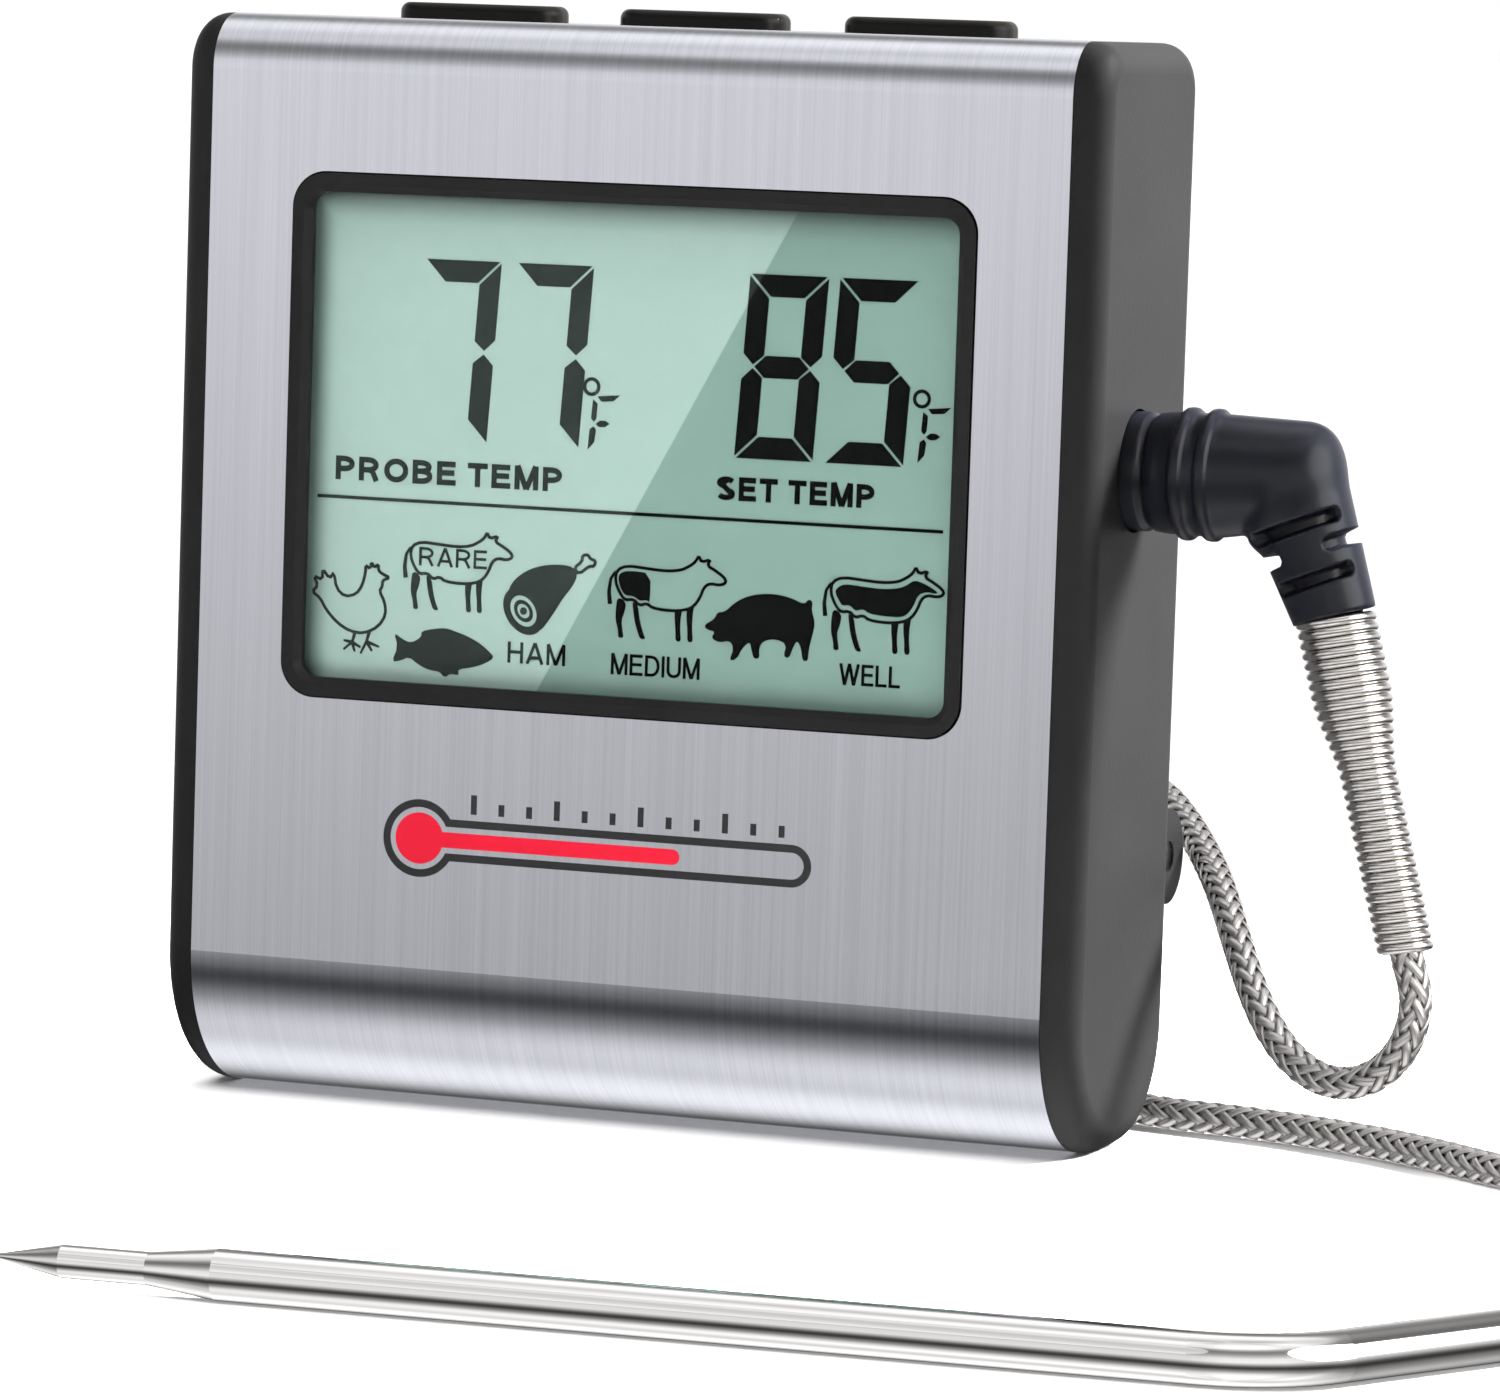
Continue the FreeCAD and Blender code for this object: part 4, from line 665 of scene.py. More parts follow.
def make_boot():
    """A round barrel with two ribs, a filleted elbow and a tapered arm with staggered slots."""
    sides = 144
    angles = 2 * math.pi * np.arange(sides) / sides
    height, depth = np.cos(angles), np.sin(angles)
    arm = np.array((math.sin(ARM_ANGLE), 0, -math.cos(ARM_ANGLE)))
    arm_out = np.array((math.cos(ARM_ANGLE), 0, math.sin(ARM_ANGLE)))
    up = np.array((0, 0, 1.0))
    mitre = (up + arm_out) / (1 + up @ arm_out)
    elbow = np.array((BOOT_REACH, 0, 0))
    front = np.array((0, -1.0, 0))
    rows = []
    for x, radius in NOSE_PROFILE:
        rows.append(np.array((x, 0, 0)) + radius * (height[:, None] * up + depth[:, None] * front))
    corners = (
        elbow
        + (CORNER_RADIUS * height)[:, None] * mitre
        + (CORNER_RADIUS * depth)[:, None] * front
    )
    reach = (0.35 + 1.45 * ((1 + height) / 2) ** 2)[:, None]
    start = corners - reach * np.array((1.0, 0, 0))
    end = corners + reach * arm
    barrel_end = rows[-1]
    for share in np.linspace(0, 1, 12)[1:]:
        rows.append(barrel_end + (start - barrel_end) * share)
    for share in np.linspace(0, 1, 14)[1:]:
        rows.append((1 - share) ** 2 * start + 2 * share * (1 - share) * corners + share ** 2 * end)
    arm_start = (end - elbow) @ arm
    for share in np.linspace(0, 1, 92)[1:]:
        along = arm_start + (ARM_LENGTH - arm_start) * share
        radius = ARM_WIDE + (ARM_NARROW - ARM_WIDE) * np.clip(along / ARM_LENGTH, -1, 1)
        radius = CORNER_RADIUS + (radius - CORNER_RADIUS) * smooth_step(0, 0.25, share)
        cut = np.zeros(sides)
        for distance, middle in BOOT_SLOTS:
            away = (angles - math.radians(middle) + math.pi) % (2 * math.pi) - math.pi
            past = np.maximum(np.abs(away) * radius - (SLOT_HALF_ARC * radius - SLOT_HALF_HEIGHT), 0)
            edge = np.hypot(past, along - distance) - SLOT_HALF_HEIGHT
            cut = np.maximum(cut, 1 - smooth_step(-0.16, 0.05, edge))
        radius = radius - SLOT_DEPTH * cut
        rows.append(
            elbow + along[:, None] * arm
            + (radius * height)[:, None] * arm_out + (radius * depth)[:, None] * front
        )
    # the arm's end is square to the spring, not to the arm
    lower = np.array(SPRING_AXIS)
    lower_out = np.array((math.cos(SPRING_ANGLE), 0, math.sin(SPRING_ANGLE)))
    for inset, beyond in ((0.03, 0.02), (0.12, 0.1), (0.4, 0.14), (0.85, 0.14)):
        radius = ARM_NARROW - inset
        rows.append(
            elbow + ARM_LENGTH * arm + beyond * lower
            + (radius * height)[:, None] * lower_out + (radius * depth)[:, None] * front
        )
    # the nipple inside the spring
    for beyond in (0.5, 4.4):
        rows.append(
            elbow + ARM_LENGTH * arm + beyond * lower
            + (NIPPLE_RADIUS * height)[:, None] * lower_out + (NIPPLE_RADIUS * depth)[:, None] * front
        )
    points = np.concatenate(rows) + np.array(BOOT_START)
    faces = grid_faces(len(rows), sides)
    boot = mesh_object("boot", points, faces, "probe_lead", FINISHES["boot_rubber"])
    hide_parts("plug_boot")
    return boot


# ---- the display's contents ----

INK_FRONT = -8.285
INK_BACK = -8.262
# shapes of one print lie this far behind each other, so that none are in one plane
INK_STAGGER = 0.0003


def plate_parts(loop, front, back):
    """Points and faces of a flat plate with one outline of (x, z) points."""
    count = len(loop)
    points = [(x, y, z) for y in (front, back) for x, z in loop]
    faces = [tuple(range(count)), tuple(range(2 * count - 1, count - 1, -1))]
    faces += [(index, index + count, (index + 1) % count + count, (index + 1) % count)
              for index in range(count)]
    return points, faces


def band_parts(outer, inner, front, back):
    """Points and faces of a flat band between two outlines that have as many points each."""
    count = len(outer)
    points = [(x, y, z) for y in (front, back) for loop in (outer, inner) for x, z in loop]
    faces = []
    for index in range(count):
        after = (index + 1) % count
        a, b, c, d = (layer * count for layer in range(4))
        faces += [
            (a + index, a + after, b + after, b + index),
            (c + index, d + index, d + after, c + after),
            (a + index, c + index, c + after, a + after),
            (b + index, b + after, d + after, d + index),
        ]
    return points, faces


def printed(name, material, plates=(), bands=(), front=INK_FRONT, back=INK_BACK):
    """Thin printed shapes in one mesh on the case; each lies a hair behind the one before it."""
    points, faces = [], []
    parts = [(plate_parts, (loop,)) for loop in plates] + [(band_parts, pair) for pair in bands]
    for number, (build, loops) in enumerate(parts):
        more_points, more_faces = build(*loops, front + INK_STAGGER * number, back)
        faces += [tuple(index + len(points) for index in face) for face in more_faces]
        points += more_points
    thing = mesh_object(name, points, faces, "case", material, smooth=False)
    shape = bmesh.new()
    shape.from_mesh(thing.data)
    bmesh.ops.recalc_face_normals(shape, faces=shape.faces)
    shape.to_mesh(thing.data)
    shape.free()
    return thing


def bowl(start, reach, low, high, count=10):
    """Half an oval that leaves the stem at the top and comes back to it at the bottom."""
    middle, rise = (low + high) / 2, (high - low) / 2
    flat = start + 0.45 * (reach - start)
    curve = [
        (flat + (reach - flat) * math.cos(angle), middle + rise * math.sin(angle))
        for angle in (math.pi / 2 - math.pi * step / count for step in range(count + 1))
    ]
    return [(start, high), *curve, (start, low)]


def oval(centre, middle, across, rise, first, last, count=12):
    """Part of an oval, between two angles in degrees."""
    return [
        (centre + across * math.cos(angle), middle + rise * math.sin(angle))
        for angle in (math.radians(first + (last - first) * step / count) for step in range(count + 1))
    ]


def letter_strokes(letter, t):
    """The width of a letter one unit high and its strokes; t is the thickness of a stroke."""
    h, top, low, slant = t / 2, 1 - t / 2, t / 2, 0.55 * t
    if letter in "PRBD":
        wide = {"P": 0.78, "R": 0.86, "B": 0.82, "D": 0.84}[letter]
        stem = [(h, 0), (h, 1)]
        if letter == "D":
            return wide, [stem, bowl(h, wide - h, low, top)]
        if letter == "B":
            return wide, [stem, bowl(h, wide - h - 0.04, 0.53, top), bowl(h, wide - h, low, 0.53)]
        strokes = [stem, bowl(h, wide - h - (0.05 if letter == "R" else 0), 0.46, top)]
        if letter == "R":
            strokes.append([(0.42, 0.46), (0.56, 0.38), (wide - 0.62 * t, 0)])
        return wide, strokes
    if letter == "O":
        return 0.98, [oval(0.49, 0.5, 0.49 - h, 0.5 - h, 0, 360, 32)]
    if letter == "S":
        upper = oval(0.41, 0.74, 0.41 - h, 0.26 - h, 20, 250)
        lower = oval(0.41, 0.27, 0.41 - h, 0.27 - h, 70, -160)
        return 0.82, [upper + lower]
    if letter == "U":
        return 0.82, [[(h, 1), *oval(0.41, 0.34, 0.41 - h, 0.34 - h, 180, 360), (0.82 - h, 1)]]
    plain = {
        "E": (0.76, [[(h, 0), (h, 1)], [(h, top), (0.74, top)], [(h, 0.52), (0.70, 0.52)],
                     [(h, low), (0.76, low)]]),
        "T": (0.78, [[(0, top), (0.78, top)], [(0.39, 0), (0.39, 1)]]),
        "H": (0.80, [[(h, 0), (h, 1)], [(0.80 - h, 0), (0.80 - h, 1)], [(h, 0.52), (0.80 - h, 0.52)]]),
        "I": (t, [[(h, 0), (h, 1)]]),
        "L": (0.70, [[(h, 0), (h, 1)], [(h, low), (0.70, low)]]),
        "A": (0.94, [[(slant, 0), (0.47, 1)], [(0.94 - slant, 0), (0.47, 1)], [(0.2, 0.3), (0.74, 0.3)]]),
        "M": (0.96, [[(h, 0), (h, 1)], [(0.96 - h, 0), (0.96 - h, 1)], [(slant, 1), (0.48, 0.02)],
                     [(0.96 - slant, 1), (0.48, 0.02)]]),
        "W": (1.30, [[(slant, 1), (0.36, 0)], [(0.36, 0), (0.65, 1)], [(0.65, 1), (0.94, 0)],
                     [(0.94, 0), (1.30 - slant, 1)]]),
    }
    return plain[letter]


WORD_SPACE = 0.32
LETTER_SPACE = 0.14


def lettering(name, words, left, right, low, high, material, thickness):
    """Words that fill a box on the display; thickness is a share of the letters' height."""
    strokes, x = [], 0.0
    for letter in words:
        if letter == " ":
            x += WORD_SPACE
            continue
        wide, lines = letter_strokes(letter, thickness)
        strokes += [[(x + px, pz) for px, pz in line] for line in lines]
        x += wide + LETTER_SPACE
    tall = high - low
    stretch = (right - left) / (x - LETTER_SPACE)
    plates = []
    for line in strokes:
        points = [(left + px * stretch, low + pz * tall) for px, pz in line]
        plates.append(stroke_loop(points, thickness * tall))
    return printed(name, material, plates)


DIGIT_WIDTH = 5.25
DIGIT_HEIGHT = 11.6
DIGIT_BASE = 43.2
DIGIT_SLANT = 0.062
SEGMENT = 1.4
GAP = 0.11
SEGMENTS_OF = {"7": "abc", "8": "abcdefg", "5": "acdfg"}


def digit_loops(number, left):
    """The lit segments of a slanted seven-segment digit."""
    wide, high, thick, gap = DIGIT_WIDTH, DIGIT_HEIGHT, SEGMENT, GAP
    middle, half = high / 2, thick / 2
    top = [(gap, high), (wide - gap, high), (wide - thick - gap, high - thick), (thick + gap, high - thick)]
    upper = [
        (0, high - gap), (thick, high - thick - gap), (thick, middle + half), (half, middle + gap),
        (0, middle + half + gap),
    ]
    bar = [
        (half + gap, middle), (thick + gap, middle + half), (wide - thick - gap, middle + half),
        (wide - half - gap, middle), (wide - thick - gap, middle - half), (thick + gap, middle - half),
    ]
    shapes = {
        "a": top,
        "d": [(x, high - z) for x, z in top],
        "f": upper,
        "e": [(x, high - z) for x, z in upper],
        "b": [(wide - x, z) for x, z in upper],
        "c": [(wide - x, high - z) for x, z in upper],
        "g": bar,
    }
    return [
        [(left + x + DIGIT_SLANT * z, DIGIT_BASE + z) for x, z in shapes[segment]]
        for segment in SEGMENTS_OF[number]
    ]


def circle_loop(x, z, radius, across=1.0, turn=0.0, count=32):
    """A circle, or an oval that is across times as narrow and turned by an angle in radians."""
    loop = []
    for step in range(count):
        angle = 2 * math.pi * step / count
        along, aside = radius * math.cos(angle), radius * across * math.sin(angle)
        loop.append((x + along * math.cos(turn) - aside * math.sin(turn),
                     z + along * math.sin(turn) + aside * math.cos(turn)))
    return loop


def unit_loops(x, z):
    """A letter F of four tapered segments beside a degree ring whose middle is x, z."""
    return [
        [(x + 0.42, z - 0.60), (x + 1.95, z - 0.46), (x + 1.5, z - 0.86), (x + 0.7, z - 0.92)],
        [(x + 0.12, z - 0.8), (x + 0.44, z - 1.05), (x + 0.38, z - 2.0), (x + 0.22, z - 2.22),
         (x + 0.02, z - 2.0)],
        [(x + 0.34, z - 2.36), (x + 0.62, z - 2.12), (x + 1.0, z - 2.12), (x + 1.3, z - 2.3),
         (x + 1.0, z - 2.52), (x + 0.6, z - 2.54)],
        [(x + 0.2, z - 2.5), (x + 0.38, z - 2.72), (x + 0.28, z - 3.5), (x - 0.16, z - 4.0),
         (x - 0.06, z - 2.7)],
    ]


def rounded(points, times=2):
    """A closed loop with its corners cut twice, which rounds it."""
    for _ in range(times):
        cut = []
        for (x0, z0), (x1, z1) in zip(points, points[1:] + points[:1]):
            cut.append((0.75 * x0 + 0.25 * x1, 0.75 * z0 + 0.25 * z1))
            cut.append((0.25 * x0 + 0.75 * x1, 0.25 * z0 + 0.75 * z1))
        points = cut
    return points


def offset_loop(points, distance):
    """A closed loop moved sideways, to its left for a positive distance."""
    moved = []
    count = len(points)
    for index in range(count):
        before, here, after = (Vector(points[(index + shift) % count]) for shift in (-1, 0, 1))
        first = (here - before).normalized()
        second = (after - here).normalized()
        normal = Vector((-first.y - second.y, first.x + second.x))
        if normal.length < 0.3:
            normal = Vector((-second.y, second.x))
        normal.normalize()
        stretch = max(0.6, normal.dot(Vector((-second.y, second.x))))
        moved.append(tuple(here + normal * distance / stretch))
    return moved


def ring_loops(points, width):
    """A closed line of some width: an outer loop and an inner one."""
    return [offset_loop(points, width / 2), offset_loop(points, -width / 2)]


def stroke_loop(points, width, end_width=None):
    """An open line of some width, which may taper to end_width, as one closed loop."""
    end_width = width if end_width is None else end_width
    left, right = [], []
    count = len(points)
    for index, point in enumerate(points):
        here = Vector(point)
        before = Vector(points[max(index - 1, 0)])
        after = Vector(points[min(index + 1, count - 1)])
        along = (after - before).normalized()
        half = (width + (end_width - width) * index / (count - 1)) / 2
        aside = Vector((-along.y, along.x)) * half
        left.append(tuple(here + aside))
        right.append(tuple(here - aside))
    return left + right[::-1]


def placed(points, x, z, size):
    """Icon points, drawn on a grid of tenths, put at x, z and scaled."""
    return [(x + px * size / 10, z + pz * size / 10) for px, pz in points]


COW_BODY = [
    (3, 44), (10, 47), (22, 46), (36, 45), (46, 46), (52, 49), (56, 52), (58, 56), (60, 52), (66, 54),
    (64, 50), (70, 47), (76, 43), (77, 40), (73, 38), (66, 39), (62, 36), (60, 30), (56, 24), (50, 21),
    (40, 20), (28, 21), (24, 24), (19, 22), (15, 26), (9, 25), (5, 30), (2, 37),
]
COW_LEGS = [
    [(4, 27), (10, 24), (9, 17), (7, 12), (8, 6), (9, 1), (5, 1), (5, 6), (3, 12), (3, 19)],
    [(14, 25), (18, 22), (19, 16), (20, 11), (22, 5), (24, 1), (20, 1), (18, 6), (16, 12), (15, 18)],
    [(43, 21), (48, 21), (47, 14), (47, 8), (48, 1), (44, 1), (44, 8), (43, 14)],
    [(51, 22), (56, 25), (55, 16), (55, 9), (56, 1), (52, 1), (52, 9), (51, 15)],
]
COW_REAR = [(5, 42), (11, 44), (26, 43), (26, 24), (24, 26), (19, 25), (15, 28), (9, 28), (6, 32), (4, 38)]
COW_FILL = [
    (6, 40), (11, 43), (22, 42), (36, 41), (46, 42), (52, 44), (57, 48), (64, 46), (70, 43), (73, 41),
    (71, 40), (66, 41), (60, 39), (57, 31), (53, 26), (49, 24), (40, 24), (28, 25), (24, 28), (19, 26),
    (15, 30), (10, 29), (8, 32), (5, 37),
]
HEN_BODY = [
    (36, 52), (36, 57), (39, 55), (40, 59), (42, 56), (45, 58), (45, 54), (48, 52), (53, 50), (48, 48),
    (48, 44), (46, 41), (50, 34), (51, 26), (46, 18), (36, 13), (26, 14), (17, 19), (9, 27), (5, 34),
    (-1, 38), (3, 42), (0, 48), (6, 46), (6, 53), (11, 47), (14, 51), (16, 41), (22, 36), (30, 38),
    (34, 44),
]
HEN_LINES = [
    [(30, 14), (28, 7), (22, 2)], [(28, 7), (30, 1)], [(28, 7), (34, 4)], [(28, 7), (22, 8)],
    [(40, 15), (38, 8), (34, 0)], [(38, 8), (42, 2)], [(38, 8), (47, 5)],
]
FISH = [
    (0, 26), (3, 17), (-1, 7), (5, 8), (11, 11), (18, 6), (26, 3), (32, 3), (36, -1), (40, 2), (46, 1),
    (45, 5), (56, 7), (64, 10), (70, 14), (66, 18), (59, 23), (50, 27), (43, 29), (36, 31), (28, 30),
    (19, 28), (19, 24), (12, 20), (6, 22),
]
HAM_MEAT = [
    (5, 27), (10, 36), (20, 43), (32, 47), (44, 48), (53, 47), (57, 42), (54, 34), (46, 24), (40, 14),
    (33, 4), (30, 1), (32, 8), (29, 17), (22, 24), (13, 28),
]
HAM_BONE = [(54, 46), (60, 51), (60, 55), (64, 56), (66, 53), (70, 52), (69, 48), (65, 48), (58, 42)]
PIG = [
    (-1, 22), (6, 26), (8, 31), (13, 31), (20, 38), (30, 43), (44, 45), (58, 43), (67, 39), (70, 43),
    (73, 41), (72, 36), (75, 28), (73, 18), (71, 10), (71, 3), (67, 3), (66, 11), (63, 16), (60, 10),
    (58, 4), (54, 5), (56, 13), (48, 16), (40, 14), (37, 9), (38, 3), (34, 2), (32, 8), (31, 13), (26, 9),
    (22, 1), (17, 0), (20, 8), (17, 13), (10, 11), (4, 14), (7, 18), (1, 19),
]


def make_cow(name, x, z, size, fill, material):
    outline = placed(rounded(COW_BODY, 1), x, z, size)
    tail = placed([(2, 43), (-1, 38), (-2, 30), (-1, 22)], x, z, size)
    plates = [placed(rounded(leg, 1), x, z, size) for leg in COW_LEGS]
    plates.append(stroke_loop(tail, 0.16, 0.3))
    if fill:
        plates.append(placed(rounded(fill, 1), x, z, size))
    printed(name, material, plates, [ring_loops(outline, 0.2)])


def make_display_contents():
    # the ink's first colour is its look under the painted reflection on the display's upper-left part
    ink = ink_finish("lcd_ink", (0.016, 0.021, 0.019), (0.0008, 0.0008, 0.0008))
    for number, (digit, left) in enumerate((("7", -15.25), ("7", -8.95), ("8", 6.85), ("5", 12.85))):
        printed(f"digit_{number + 1}", ink, digit_loops(digit, left))
    for name, (x, z) in (("left", (-2.9, 47.2)), ("right", (19.2, 47.5))):
        printed(f"{name}_unit", ink, unit_loops(x, z), [(circle_loop(x, z, 0.6), circle_loop(x, z, 0.37))])
    bold, plain = 0.235, 0.15
    lettering("probe_words", "PROBE TEMP", -20.4, -4.7, 40.42, 41.95, ink, bold)
    lettering("set_words", "SET TEMP", 5.75, 16.3, 40.5, 42.0, ink, bold)
    lettering("rare_word", "RARE", -14.4, -9.7, 35.2, 36.4, ink, plain)
    lettering("ham_word", "HAM", -8.1, -4.15, 29.35, 30.7, ink, plain)
    lettering("medium_word", "MEDIUM", -1.0, 5.0, 29.05, 30.4, ink, plain)
    lettering("well_word", "WELL", 14.35, 18.4, 29.35, 30.7, ink, plain)
    printed("divider", ink, [[(-21.6, 39.19), (20.9, 39.19), (20.9, 39.41), (-21.6, 39.41)]])
    hen = placed(rounded(HEN_BODY, 1), -21.7, 29.3, 1.0)
    toes = [stroke_loop(placed(line, -21.7, 29.3, 1.0), 0.24, 0.14) for line in HEN_LINES]
    printed("hen", ink, toes, [ring_loops(hen, 0.2)])
    printed("fish", ink, [placed(rounded(FISH, 1), -16.0, 28.2, 1.0)])
    ham_x, ham_z, lean = -7.1, 32.7, math.radians(-52)
    meat = placed(rounded(HAM_MEAT, 2), -8.7, 31.4, 0.92)
    bone = placed(rounded(HAM_BONE, 1), -8.7, 31.4, 0.92)
    rings = [
        (circle_loop(ham_x, ham_z, outer, 0.74, lean), circle_loop(ham_x, ham_z, inner, 0.74, lean))
        for outer, inner in ((1.66, 1.08), (0.78, 0.5))
    ]
    printed("ham", ink, [meat, circle_loop(ham_x, ham_z, 0.24)], [ring_loops(bone, 0.2), *rings])
    make_cow("rare_cow", -15.2, 32.3, 0.94, None, ink)
    make_cow("medium_cow", -1.1, 31.3, 1.0, COW_REAR, ink)
    make_cow("well_cow", 13.4, 31.4, 1.0, COW_FILL, ink)
    printed("pig", ink, [placed(rounded(PIG, 1), 5.3, 30.4, 0.98)])


# ---- the printed mark on the steel ----

def tube_loop(bulb_x, bulb_z, bulb, tube, end):
    """The outline of a round bulb with a straight tube to its right, round at its end."""
    opening = math.degrees(math.asin(tube / bulb))
    return [
        *oval(bulb_x, bulb_z, bulb, bulb, opening, 360 - opening, 36),
        *oval(end, bulb_z, tube, tube, -90, 90, 18),
    ]


def make_mark():
    """A plain thermometer lying on its side, with a scale above its tube."""
    black = moulded_plastic("print_black", (0.012, 0.012, 0.013), 0.45, 2500, 0.05, Specular_IOR_Level=0.3)
    red = moulded_plastic("print_red", (0.42, 0.004, 0.018), 0.45, 2500, 0.05, 1.1, Specular_IOR_Level=0.1)
    front, back = -10.012, -9.999
    x, z, bulb, tube, end, line = -13.1, 17.9, 2.5, 1.35, 12.2, 0.5
    outside = tube_loop(x, z, bulb, tube, end)
    inside = tube_loop(x, z, bulb - line, tube - line, end)
    ticks = []
    for number in range(12):
        centre = -9.4 + number * 1.9
        low = z + tube + 0.4
        high = low + (1.25 if number % 3 == 0 else 0.75)
        ticks.append([(centre - 0.2, low), (centre + 0.2, low), (centre + 0.2, high), (centre - 0.2, high)])
    printed("mark_outline", black, ticks, [(outside, inside)], front, back)
    fluid = tube_loop(x, z, bulb - line - 0.35, tube - line - 0.35, 4.2)
    printed("mark_fluid", red, [fluid], [], front, back)


# ---- finishes of the CAD nodes ----

def finish_cad_nodes():
    slots = {row["node"]: row["material_slot"] for row in frame["record"]["subparts"]}
    for name, node in frame["nodes"].items():
        node.data.materials.clear()
        node.data.materials.append(FINISHES[slots[name]])
        node.data.polygons.foreach_set("material_index", [0] * len(node.data.polygons))


# ---- floor and light ----

# brightness of the surroundings by elevation in degrees, above and below the horizon
SURROUNDINGS = [
    (-90, 0.90), (-77, 0.98), (-67, 1.12), (-59, 1.04), (-50, 0.76), (-41, 0.36), (-33, 0.17),
    (-28, 0.07), (-23, 0.045), (-17, 0.12), (-12, 0.30), (-8.8, 0.48), (-7.2, 0.53), (-5.6, 0.60),
    (-1.3, 0.86), (0, 0.90), (14, 0.84), (24, 0.50), (33, 0.28), (42, 0.20), (50, 0.43), (56, 0.98),
    (68, 1.10), (78, 0.78), (90, 0.68),
]
# how much brighter, by the cosine of the bearing from a direction BEARING_TURN (in radians) to the right
# of straight in front; BEARING_SCALE keeps the ramp's colours under 1
BEARINGS = [
    (-1, 1.15), (-0.7, 1.0), (-0.2, 0.7), (0.2, 0.8), (0.48, 1.09), (0.64, 0.92), (0.8, 0.9),
    (0.95, 1.1),
]
BEARING_TURN = 0.6
BEARING_SCALE = 1.5
FLOOR_HALF = 80.0


def make_floor():
    finish = Finish("floor", (0.93, 0.93, 0.93), 0.8)
    finish.colour(finish.blend(finish.noise(3, 2.0), (0.925, 0.925, 0.925), (0.935, 0.935, 0.935)))
    mesh = bpy.data.meshes.new("floor")
    corners = [(x * FLOOR_HALF, y * FLOOR_HALF, 0) for x, y in ((-1, -1), (1, -1), (1, 1), (-1, 1))]
    mesh.from_pydata(corners, [], [(0, 1, 2, 3)])
    floor = bpy.data.objects.new("floor", mesh)
    bpy.context.scene.collection.objects.link(floor)
    floor.data.materials.append(finish.material)
    floor.visible_glossy = False


def area_light(name, place, aim, size, power, diffuse, glossy, spread=math.pi):
    """A round lamp; places and size are in metres, power is in watts."""
    data = bpy.data.lights.new(name, "AREA")
    data.spread = spread
    data.shape = "DISK"
    data.size = size
    data.energy = power
    light = bpy.data.objects.new(name, data)
    bpy.context.scene.collection.objects.link(light)
    light.location = place
    light.rotation_mode = "QUATERNION"
    light.rotation_quaternion = (Vector(aim) - Vector(place)).to_track_quat("-Z", "Y")
    light.visible_diffuse = diffuse
    light.visible_glossy = glossy
    return light


def light_probe():
    """A broad panel that the probe alone reflects, above its dark line."""
    panel = area_light("probe_panel", (-0.30, -1.245, 0.882), (0.027, -0.0755, 0), 0.9, 0.9,
                       diffuse=False, glossy=True)
    lit = bpy.data.collections.new("probe_lit")
    for name in ("probe_shaft", "probe_tip"):
        lit.objects.link(frame["nodes"][name])
    panel.light_linking.receiver_collection = lit


def world_ramp(tree, source, levels, tint=1.0):
    """A ramp of grey levels, each with its place between -1 and 1."""
    share = tree.nodes.new("ShaderNodeMapRange")
    share.inputs["From Min"].default_value = -1
    tree.links.new(source, share.inputs["Value"])
    ramp = tree.nodes.new("ShaderNodeValToRGB")
    tree.links.new(share.outputs["Result"], ramp.inputs["Fac"])
    stops = ramp.color_ramp.elements
    while len(stops) < len(levels):
        stops.new(0.5)
    for stop, (place, level) in zip(stops, levels):
        stop.position = (place + 1) / 2
        stop.color = (level, level, level * tint, 1)
    return ramp.outputs["Color"]


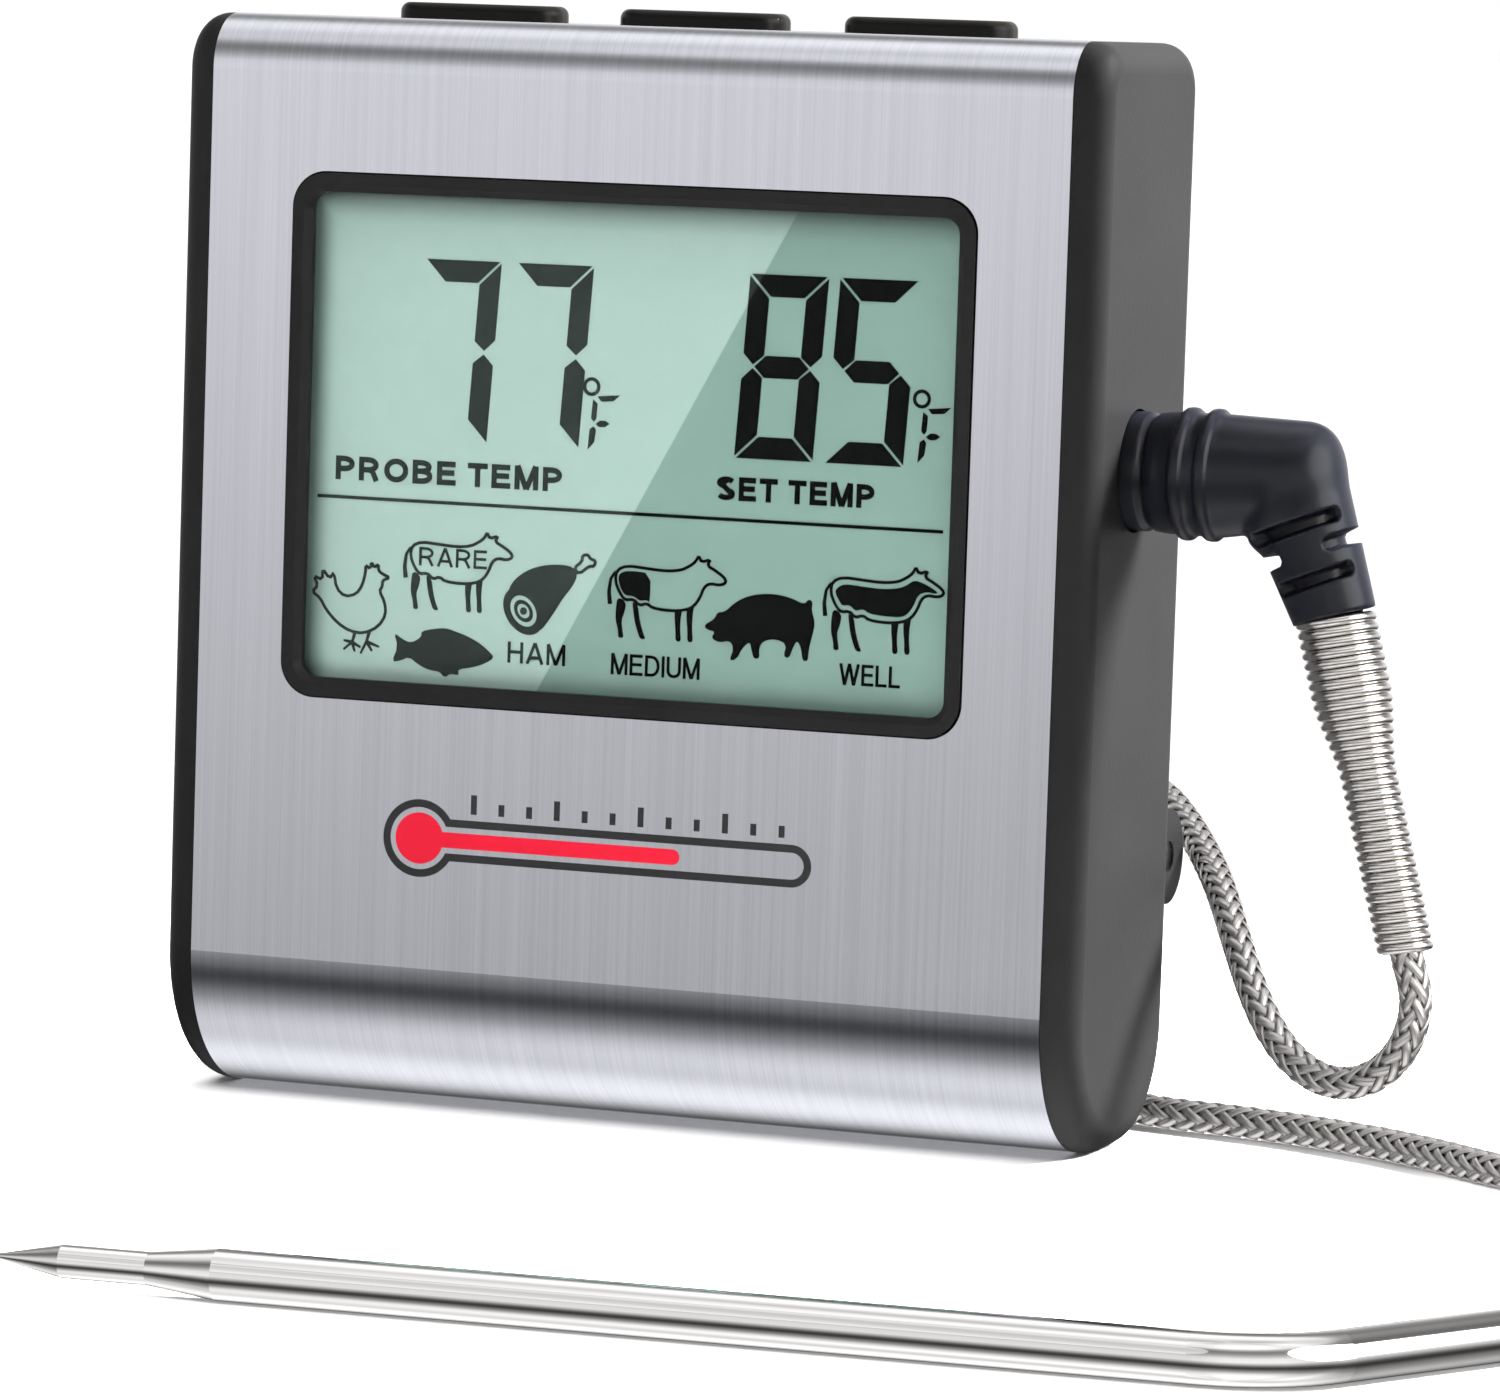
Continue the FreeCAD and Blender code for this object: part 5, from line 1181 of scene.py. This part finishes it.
def make_world():
    world = bpy.data.worlds.new("surroundings")
    bpy.context.scene.world = world
    world.use_nodes = True
    tree = world.node_tree
    nodes, links = tree.nodes, tree.links
    coordinates = nodes.new("ShaderNodeTexCoord")
    split = nodes.new("ShaderNodeSeparateXYZ")
    links.new(coordinates.outputs["Generated"], split.inputs[0])
    levels = [(math.sin(math.radians(elevation)), level) for elevation, level in SURROUNDINGS]
    colour = world_ramp(tree, split.outputs["Z"], levels, 1.01)
    # brightness by bearing: darkest at the sides
    level_part = nodes.new("ShaderNodeVectorMath")
    level_part.operation = "MULTIPLY"
    level_part.inputs[1].default_value = (1, 1, 0)
    links.new(coordinates.outputs["Generated"], level_part.inputs[0])
    bearing = nodes.new("ShaderNodeVectorMath")
    bearing.operation = "NORMALIZE"
    links.new(level_part.outputs["Vector"], bearing.inputs[0])
    toward = nodes.new("ShaderNodeVectorMath")
    toward.operation = "DOT_PRODUCT"
    toward.inputs[1].default_value = (math.sin(BEARING_TURN), -math.cos(BEARING_TURN), 0)
    links.new(bearing.outputs["Vector"], toward.inputs[0])
    shade = world_ramp(tree, toward.outputs["Value"],
                       [(place, level / BEARING_SCALE) for place, level in BEARINGS])
    strength = nodes.new("ShaderNodeMath")
    strength.operation = "MULTIPLY"
    strength.inputs[1].default_value = BEARING_SCALE
    links.new(shade, strength.inputs[0])
    background = nodes["Background"]
    links.new(colour, background.inputs["Color"])
    links.new(strength.outputs["Value"], background.inputs["Strength"])


def make_lights():
    bpy.context.scene.view_settings.view_transform = "Standard"
    make_world()
    area_light("side", (0.22, 0.18, 0.22), (0.03, 0, 0.04), 0.15, 1.4, diffuse=True, glossy=False,
               spread=math.radians(40))
    area_light("edge", (0.75, -0.06, 0.34), (0.04, 0, 0.04), 0.80, 5.0, diffuse=False, glossy=True)
    light_probe()
    data = bpy.data.lights.new("overhead", "SUN")
    data.energy = 2.9
    data.angle = math.radians(36)
    overhead = bpy.data.objects.new("overhead", data)
    bpy.context.scene.collection.objects.link(overhead)
    overhead.rotation_mode = "QUATERNION"
    overhead.rotation_quaternion = Vector((0.25, 0.44, -0.86)).to_track_quat("-Z", "Y")
    overhead.visible_glossy = False


# ---- everything ----

make_camera()
cable, centreline = make_cord()
even, lengths = resample(centreline, BRAID_STEP)
coil_from = int(np.argmax(even[:, 0] > COIL_FROM_X))
from_coil = even[::-1, :2] - COIL_CENTRE
coil_ends = len(even) - int(np.argmax(np.hypot(from_coil[:, 0], from_coil[:, 1]) < COIL_EDGE))
braids = [make_braid("braid_run", even[:coil_from + 1], 0.0)]
coil_line, coil_lengths = resample(even[coil_from:coil_ends + 1], COIL_BRAID_STEP)
half = len(coil_line) // 2
first = lengths[coil_from]
braids.append(make_braid("braid_coil_first", coil_line[:half + 1], first))
braids.append(make_braid("braid_coil_second", coil_line[half:], first + coil_lengths[half]))
braids.append(make_braid("braid_tail", even[coil_ends:], lengths[coil_ends]))
spring = make_spring()
boot = make_boot()
finish_cad_nodes()
make_display_contents()
make_mark()
make_floor()
make_lights()
